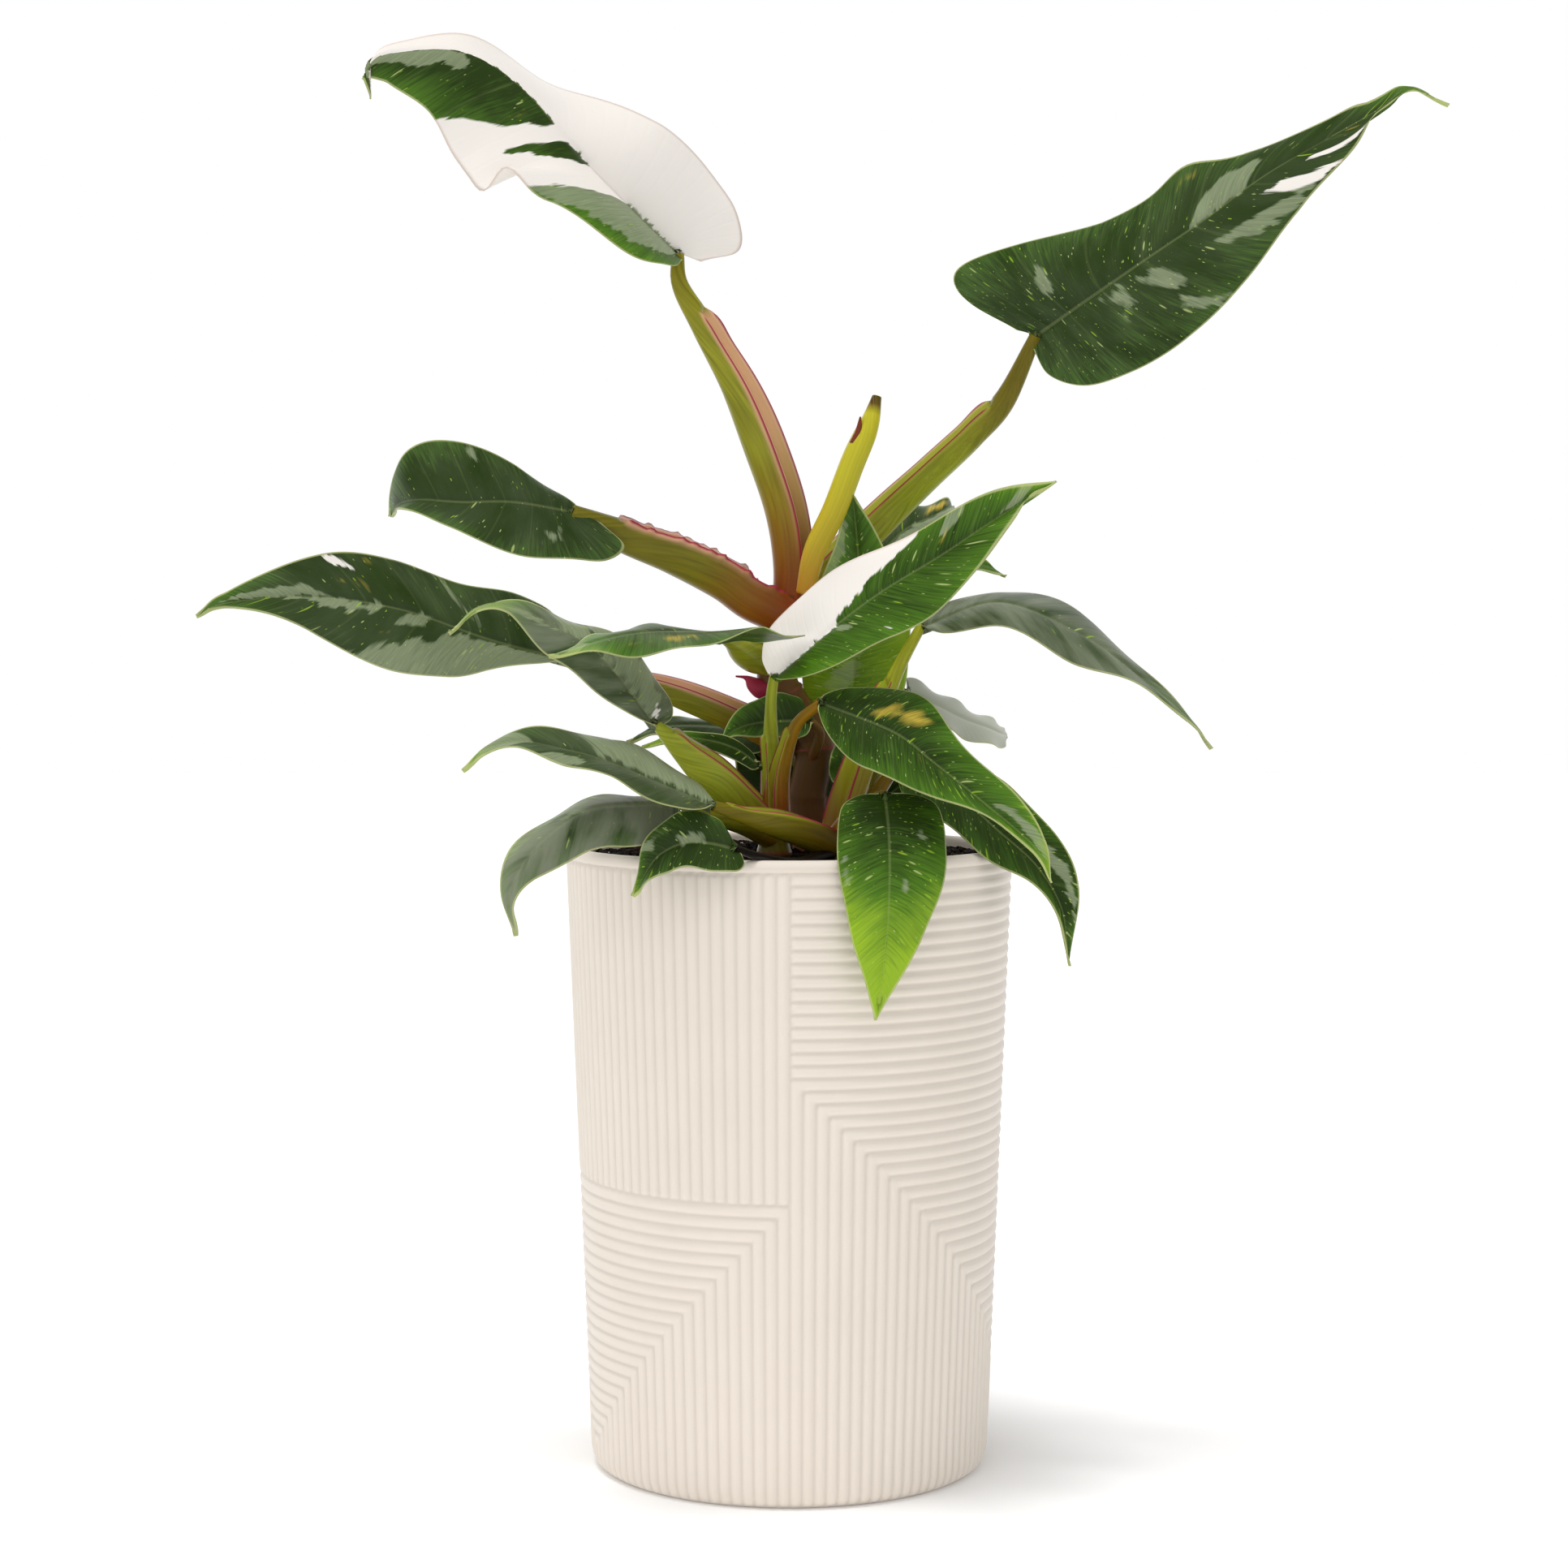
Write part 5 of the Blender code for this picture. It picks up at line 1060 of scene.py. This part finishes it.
        left=((18, 5, 0), (18, 4, 0), (15, 4, 0)), right=((-16, 4, 0), (-17, 4, 0)), lobe=(0.15, 0.15),
        shoot="stems_front", stalk=((15, -42, 212), (21, -52, 221), (28, -61, 226)), radii=(3.8, 2.8, 1.6),
        open_to=(0, 0, 1), tint=(0.4, 0.8, 0), amber=0.3,
        tone=(0.06, 0.12, 0.2, 0.36, 0.58, 0.76, 0.9, 1, 1), rim=0.16, grey=0, specks=1.1,
        marks=(("pale", ((5.6, -0.24), (6.2, -0.24), (6.3, -0.4), (5.7, -0.4)), 0.9),
               ("pale", ((3.7, -0.5), (4.3, -0.5), (4.3, -0.62), (3.7, -0.62)), 0.85),
               ("pale", ((4.4, 0.75), (5.6, 0.8), (5.6, 0.98), (4.4, 0.95)), 0.8))),
    "leaf_low_left": dict(
        slot="leaf_grey_green",
        spine=((-24, -70, 224), (-56, -81, 238.5), (-71, -86, 243), (-84, -90, 245.4), (-94, -93, 242.5),
               (-100, -95, 236)),
        left=((-2, -12, -4), (0, -12, -5), (0, -8, -7)),
        right=((0, 14, 6), (0, 14, 7), (0, 12, 7), (0, 8, 6)), shoot="stems_front",
        stalk=((14, -43, 210), (1, -53, 216), (-14, -63, 220.5)), radii=(5, 5.2, 4.6, 2.8, 1.6), sheath=0.9,
        open_to=(0, -0.2, 1), tint=(0.1, 0.25, 0), tone=(0.05, 0.03, 0.05, 0.2, 0.9), rim=0.1, grey=1,
        specks=0.3,
        marks=(("pale", ((-1, 0.05), (6.3, 0.12), (5.9, 1.3), (-1, 1.3))),
               ("pale", ((6, -0.6), (7.2, -0.6), (7.2, -0.95), (6, -0.95))),
               ("pale", ((8, -0.9), (9.3, -0.9), (9.3, 0.9), (8, 0.9))))),
    "leaf_drooping_left": dict(
        slot="leaf_grey_green",
        spine=((-35, -58, 224), (-59, -70, 224), (-72, -76, 218), (-82, -82, 208), (-87.2, -85, 196),
               (-84.6, -86, 184.6)),
        left=((2, -8, -12), (5, -10, -12), (7, -6, -6)),
        right=((0, 12, 4), (-1, 11, 2), (-4, 9, 3), (-10, 6, 3), (-8, 5, 2)), shoot="stems_left",
        stalk=((-6, -32, 211), (-15, -41, 216), (-27, -52, 220)), radii=(3.6, 2.8, 1.6),
        open_to=(0, -0.3, 1), tint=(0.5, 0.5, 0), tone=(0.08, 0.1, 0.15, 0.3, 0.9), rim=0.3, grey=4.5,
        specks=0.3,
        marks=(("pale", ((5.9, 0.1), (6.6, 0.15), (6.4, 0.4), (5.9, 0.3))),
               ("pale", ((4.4, 0.55), (7.4, 0.7), (7.5, 0.95), (4.8, 0.85))))),
    "leaf_small_front": dict(
        slot="leaf_dark_green",
        spine=((-17, -77, 211), (-25, -79, 213), (-33, -79, 213), (-41, -78, 209), (-46, -77, 202),
               (-49, -76, 196)),
        left=((0, -5, -8), (2, -5, -8)), right=((-2, 4, 10), (-6, 5, 8)), lobe=(0.6, 0),
        shoot="stems_front", stalk=((13, -46, 207), (2, -61, 205.5), (-9, -71, 208)), radii=(2.2, 1.6, 1.2),
        open_to=(0, 0, 1), tint=(0, 1, 2), tone=(0, 0.03, 0.08, 0.2, 0.8), rim=0.2, grey=0.15, specks=0.8,
        marks=(("pale", ((4.6, -0.06), (6, -0.02), (5.9, 0.2), (4.9, 0.22))),
               ("pale", ((6.4, 0.6), (7.2, 0.5), (7.5, 0.97), (6.6, 0.97))))),
    "leaf_inner": dict(
        slot="leaf_dark_green",
        spine=((7, -8, 249), (-3, -11, 249), (-13, -14, 248), (-20, -16, 245), (-23, -18, 240)),
        left=((1, -4, -6), (1, -3, -5)), right=((-1, 5, 9), (-2, 4, 9)), shoot="stems_main",
        stalk=((7, 3, 234), (9, -4, 240), (10, -7, 245)), radii=(2, 1.9, 1.3), open_to=(1, 0, 0),
        tint=(0.1, 1, 0.6), tone=(0.05, 0.05, 0.25, 0.5), rim=0.3, grey=0.2, specks=0.6),
    "leaf_inner_back": dict(
        slot="leaf_dark_green",
        spine=((-5, 14, 244), (-20, 19, 246), (-34, 18, 247), (-46, 14, 246), (-55, 10, 241)),
        left=((0, -8, -8), (0, -8, -7)), right=((0, 9, 3), (0, 8, 3)), shoot="stems_main",
        stalk=((7, 7, 226), (4, 12, 233), (0, 14, 240)), radii=(3.2, 2.4, 1.4), open_to=(0, 0, 1),
        tint=(0.3, 0.3, 0.2), tone=(0, 0, 0.1, 0.3), rim=0.1, grey=0.55, specks=0.3),
    "leaf_small_back": dict(
        slot="leaf_mid_green", spine=((19, -3, 227), (18, -4, 234), (18, -4, 240), (19, -2, 246)),
        left=((-5, -1, 0), (-5, 0, 0)), right=((5, -1, 0), (5, 0, 0)), shoot="stems_main",
        stalk=((8, 4, 212), (15, 2, 216), (19, 0, 221)), radii=(2.8, 2.2, 1.2), tint=(0.7, 0.2, 0),
        tone=(0.4, 0.3, 0.3), rim=0.1, grey=0.2, specks=0.4),
    # The left and right shade blades are dark sheets behind the stems: partly the dark leaves there, partly
    # painted shade filling the gaps between the stems
    "leaf_shade_left": dict(
        slot="leaf_dark_green", looks_only=True,
        spine=((6, 9, 214), (-2, 13, 226), (-11, 16, 237), (-20, 17, 243)),
        left=((-14, -1, -9), (-14, -1, -6)), right=((6, -1, 5), (6, -1, 5)), tone=(0,), rim=0, grey=0,
        specks=0.1),
    "leaf_shade_middle": dict(
        slot="leaf_dark_green", looks_only=True,
        spine=((10, 9, 214), (15, 15, 225), (20, 18, 237), (22, 18, 246)), left=((-9, -1, 4), (-8, -1, 3)),
        right=((8, -1, -4), (8, -1, -3)), tone=(0.15, 0.2), rim=0.2, grey=0, specks=0.3),
    # Dark sheet behind the stems: partly a dark leaf, partly painted shade
    "leaf_shade_right": dict(
        slot="leaf_dark_green", looks_only=True,
        spine=((26, 29, 214), (34, 28, 222), (42, 26, 228), (50, 24, 230)), left=((-4, 3, 9), (-2, 3, 8)),
        right=((3, -3, -9), (2, -3, -8)), tone=(0,), rim=0, grey=0, specks=0.1),
    "cataphyll": dict(
        slot="leaf_mid_green",
        spine=((-10, -28, 235), (-17, -24, 240), (-26, -22, 243), (-38, -22, 244), (-51, -22, 240)),
        left=((0, -2, -4), (0, -3, -4)), right=((0, 2, 3), (0, 3, 2)), wave=0.3,
        tone=(0, 0, 0, 0.5, 0.85, 0.95), rim=0.05, grey=0, specks=0.1),
}

# Each shoot's stem, with its knots: share along it, height and half length in mm
SHOOTS = {
    "stems_main": dict(
        stem=((8, 4, 179), (8, 4, 193), (8, 4, 209), (6, 4, 222), (8, 5, 241), (-3.5, 4, 260), (-3, 2, 275),
              (-2, 1, 291)),
        radii=(7, 7, 7, 6.4, 6.8, 6.8, 6.4, 5), tint=(0.1, 1, 0.7),
        knots=((0.38, 0.7, 1.2), (0.52, 0.9, 1.5), (0.7, 0.8, 1.4), (0.84, 1, 2), (0.93, 0.8, 1.2))),
    "stems_left": dict(
        stem=((-5, -30, 179), (-5, -30, 206), (-5, -30, 218)), radii=(5.5, 5.5, 4.6), tint=(0.3, 0.8, 0.3),
        knots=((0.7, 0.6, 1.2),)),
    "stems_front": dict(
        stem=((14, -41, 179), (14, -41, 206), (14, -41, 215)), radii=(5.5, 5.5, 4.4), tint=(0.3, 0.8, 0.3),
        knots=((0.7, 0.6, 1.2),)),
    "stems_back": dict(
        stem=((24, 28, 179), (24, 28, 206), (24, 28, 220)), radii=(6, 6, 4.6), tint=(0.3, 0.8, 0.3),
        knots=((0.7, 0.6, 1.2),)),
}

# The aerial root's bud, and the rolled young leaf with its second point, in mm
ROOT_BUD = ((-7, 1, 258), (-11.5, 0, 260.5), (-14.5, 0, 263), (-18, -1, 263.6))
ROOT_BUD_RADII = (3, 3.4, 2.4, 0.7, 0.3)
NEW_SHOOT = ((5, -6, 291), (8.5, -7, 305), (15.2, -8, 319), (21.3, -7, 335), (26.7, -5, 347.5),
             (29.3, -3, 357))
NEW_SHOOT_RADII = (3, 3.9, 4.2, 4.2, 3.8, 1.6)
NEW_SHOOT_POINT = ((21.4, -8, 341), (23, -8, 345), (23.6, -8, 350))


# Stage


def build_stage(look):
    """Plain white floor and backdrop, soft studio light and the camera of the photograph."""
    bpy.ops.object.select_all(action="DESELECT")
    bpy.ops.mesh.primitive_plane_add(size=FLOOR_SIZE * MM, location=Vector(FLOOR_PLACE) * MM)
    floor = bpy.context.active_object
    floor.name = "studio_floor"
    bpy.ops.object.mode_set(mode="EDIT")
    bpy.ops.mesh.subdivide(number_cuts=3)
    bpy.ops.object.mode_set(mode="OBJECT")
    paint = new_material("White studio floor, painted", 0.9, Base_Color=look.floor, Specular_IOR_Level=0.1,
                         Emission_Color=look.floor, Emission_Strength=look.lift)[0]
    floor.data.materials.append(paint)
    floor.visible_glossy = False
    world = bpy.data.worlds.new("White studio")
    bpy.context.scene.world = world
    world.use_nodes = True
    world.node_tree.nodes.clear()
    add = functools.partial(add_node, world.node_tree)
    way = add("TexCoord", out="Generated")
    towards = add("VectorMath", way, BRIGHT_SIDE, operation="DOT_PRODUCT", out="Value")
    room = add("MapRange", towards, -1.0, None, look.far_side, look.near_side)
    depth = add("SeparateXYZ", way, out="Y")
    screen = add("MapRange", depth, 0.30, 0.85, DARK_REFLECTION, look.backdrop)
    unseen = add("MapRange", add("LightPath", out="Is Glossy Ray"), None, None, room, screen)
    strength = add("MapRange", add("LightPath", out="Is Camera Ray"), None, None, unseen, 1.0)
    add("OutputWorld", add("Background", linear("#FFFFFF"), strength), out=slice(0))
    bpy.ops.object.light_add(type="SUN", location=Vector(KEY_PLACE) * MM)
    lamp = bpy.context.active_object
    lamp.name = "key_softbox"
    lamp.data.energy = look.key
    lamp.data.angle = math.radians(look.softness)
    lamp.rotation_euler = Vector(KEY_WAY).to_track_quat("-Z", "Y").to_euler()
    lamp.visible_glossy = False
    bpy.ops.object.camera_add(location=Vector(CAMERA_PLACE) * MM)
    camera = bpy.context.active_object
    camera.name = "photo_view"
    camera.rotation_euler = (math.radians(90.0 - look.pitch), 0.0, 0.0)
    camera.data.sensor_width = SENSOR_WIDTH
    camera.data.lens = look.lens
    camera.data.shift_y = -look.shift
    camera.data.clip_start = 0.05
    bpy.context.scene.camera = camera
    bpy.context.scene.view_settings.view_transform = "Standard"


# Add-on: sizes and colours, one operator for each group of pieces, and the panel


def colour_property(name, about, code):
    return FloatVectorProperty(name=name, description=about, subtype="COLOR", size=4, min=0.0, max=1.0,
                               default=linear(code))


def number_property(name, about, value, unit="NONE"):
    return FloatProperty(name=name, description=about, default=value, unit=unit)


class PotLook(bpy.types.PropertyGroup):
    """Sizes and colours of the pot and the potting mix."""

    rib_depth: number_property("Rib depth", "Height of the ribs over their grooves", 0.85 * MM, "LENGTH")
    glaze: colour_property("Glaze", "Cream glaze on the ribs", "#F3E9DD")
    glaze_shade: colour_property("Glaze shade", "Slightly thicker glaze", "#EEE3D6")
    # Groove: the colour that the grooves are darkened towards
    groove: colour_property("Groove", "Glaze pooled between the ribs", "#E0D5C8")
    peat: colour_property("Peat", "Lighter crumbs of the mix", "#1E130C")
    perlite: colour_property("Perlite", "Off-white grains", "#CFC9BC")


class LeafLook(bpy.types.PropertyGroup):
    """Sizes and colours of the leaf blades."""

    thickness: number_property("Blade thickness", "Thickness of a blade between veins", 0.6 * MM, "LENGTH")
    dark: colour_property("Dark green", "Grown leaf", "#283F0A")
    mid: colour_property("Mid green", "Younger leaf", "#4E7A15")
    lime: colour_property("Lime", "Youngest growth", "#97BC20")
    grey: colour_property("Grey-green", "Clouded zones", "#6C785A")
    # Painted sheen: the grey that leaves are mixed towards, standing in for the backdrop's reflection
    painted_sheen: colour_property("Bloom", "Grey bloom of clouded leaves", "#868D75")
    pale: colour_property("Pale green", "Palest patches", "#A7B48D")
    speck: colour_property("Speck", "Specks and streaks", "#B9C77C")
    yellow: colour_property("Yellow", "Yellow flecks", "#BDA63C")
    milk: colour_property("Milky", "Palest clouded leaf", "#AFB3A2")
    white: colour_property("White", "White variegation", "#F3EDE6")
    blush: colour_property("Blush", "Margin of the white zones", "#D6BCAA")
    midrib: colour_property("Midrib", "Main vein", "#A3B070")
    margin: colour_property("Margin", "Thin edge line", "#C6C98A")


class StemLook(bpy.types.PropertyGroup):
    """Colours of stems, stalks and the rolled young leaf."""

    olive: colour_property("Olive", "Stalk skin", "#74640F")
    olive_dark: colour_property("Dark olive", "Lines along the stalk", "#3B400C")
    amber: colour_property("Amber", "Orange-brown stalks", "#A06A14")
    fresh: colour_property("Fresh green", "Young stalks", "#A3AC2A")
    foot_red: colour_property("Foot", "Foot of the stalks", "#9A3C12")
    woody: colour_property("Woody", "Old stem", "#6A3B2C")
    withered: colour_property("Withered", "Dead stalk on the mix", "#17100B")
    pink: colour_property("Pink", "Inside of the sheaths", "#F2B097")
    crimson: colour_property("Crimson", "Edges of the sheaths", "#A82E48")
    young: colour_property("Young leaf", "Rolled young leaf", "#C6BC2A")
    foot_orange: colour_property("Young foot", "Foot of the young leaf", "#CE8426")


class StageLook(bpy.types.PropertyGroup):
    """Camera and light."""

    lens: number_property("Lens", "Focal length", 72.5, "CAMERA")
    pitch: number_property("Pitch", "How far the camera looks down, in degrees", 1.42)
    shift: number_property("Shift", "How far the lens is shifted down, in frame widths", 0.05)
    near_side: number_property("Near side", "Strength of the room's light from the front left", 0.90)
    far_side: number_property("Far side", "Strength of the room's light from the back right", 0.28)
    backdrop: number_property("Backdrop", "Strength of the white backdrop in reflections", 1.2)
    key: number_property("Key light", "Strength of the light from above", 1.5)
    softness: number_property("Softness", "Angle that the key light fills, in degrees", 16.0)
    lift: number_property("Floor lift", "How far the white floor is lit past the room's light", 0.06)
    floor: colour_property("Floor", "Floor paint", "#FFFFFF")


class PLANT_OT_pot(bpy.types.Operator):
    """Build the ribbed pot"""

    bl_idname = "plant.build_pot"
    bl_label = "Pot"

    def execute(self, context):
        build_pot(context.scene.plant_pot)
        return {"FINISHED"}


class PLANT_OT_soil(bpy.types.Operator):
    """Build the potting mix and its loose grains"""

    bl_idname = "plant.build_soil"
    bl_label = "Potting mix"

    def execute(self, context):
        build_soil(context.scene.plant_pot)
        return {"FINISHED"}


class PLANT_OT_stems(bpy.types.Operator):
    """Build the stems with their leaf stalks"""

    bl_idname = "plant.build_stems"
    bl_label = "Stems and stalks"

    def execute(self, context):
        build_stems(context.scene.plant_stems)
        return {"FINISHED"}


class PLANT_OT_blades(bpy.types.Operator):
    """Build the leaf blades"""

    bl_idname = "plant.build_blades"
    bl_label = "Leaf blades"

    def execute(self, context):
        look = context.scene.plant_leaves
        skins = {}
        for name, leaf in LEAVES.items():
            slot = leaf["slot"]
            if slot not in skins:
                words = slot.replace("leaf_", "").replace("_", " ")
                skins[slot] = [leaf_skin(look, "Leaf skin, waxy, " + words, 0.38, False),
                               leaf_skin(look, "Leaf underside, matt, " + words, 0.55, True)]
            build_blade(name, leaf, look, skins[slot])
        return {"FINISHED"}


class PLANT_OT_new_shoot(bpy.types.Operator):
    """Build the rolled young leaf"""

    bl_idname = "plant.build_new_shoot"
    bl_label = "Rolled young leaf"

    def execute(self, context):
        build_new_shoot(context.scene.plant_stems)
        return {"FINISHED"}


class PLANT_OT_stage(bpy.types.Operator):
    """Build the floor, the light and the camera"""

    bl_idname = "plant.build_stage"
    bl_label = "Stage"

    def execute(self, context):
        build_stage(context.scene.plant_stage)
        return {"FINISHED"}


class PLANT_PT_panel(bpy.types.Panel):
    """Lists the steps that build the potted plant"""

    bl_label = "Potted plant"
    bl_idname = "PLANT_PT_panel"
    bl_space_type = "VIEW_3D"
    bl_region_type = "UI"
    bl_category = "Potted plant"

    def draw(self, context):
        for step in STEPS:
            self.layout.operator(step.bl_idname)


STEPS = (PLANT_OT_pot, PLANT_OT_soil, PLANT_OT_stems, PLANT_OT_blades, PLANT_OT_new_shoot, PLANT_OT_stage)
GROUPS = {"plant_pot": PotLook, "plant_leaves": LeafLook, "plant_stems": StemLook, "plant_stage": StageLook}


def register():
    for group in (*GROUPS.values(), *STEPS, PLANT_PT_panel):
        bpy.utils.register_class(group)
    for name, group in GROUPS.items():
        setattr(bpy.types.Scene, name, PointerProperty(type=group))


def unregister():
    for name in GROUPS:
        delattr(bpy.types.Scene, name)
    for group in reversed((*GROUPS.values(), *STEPS, PLANT_PT_panel)):
        bpy.utils.unregister_class(group)


def main():
    register()
    bpy.ops.plant.build_pot()
    bpy.ops.plant.build_soil()
    bpy.ops.plant.build_stems()
    bpy.ops.plant.build_blades()
    bpy.ops.plant.build_new_shoot()
    bpy.ops.plant.build_stage()


if __name__ == "__main__":
    main()
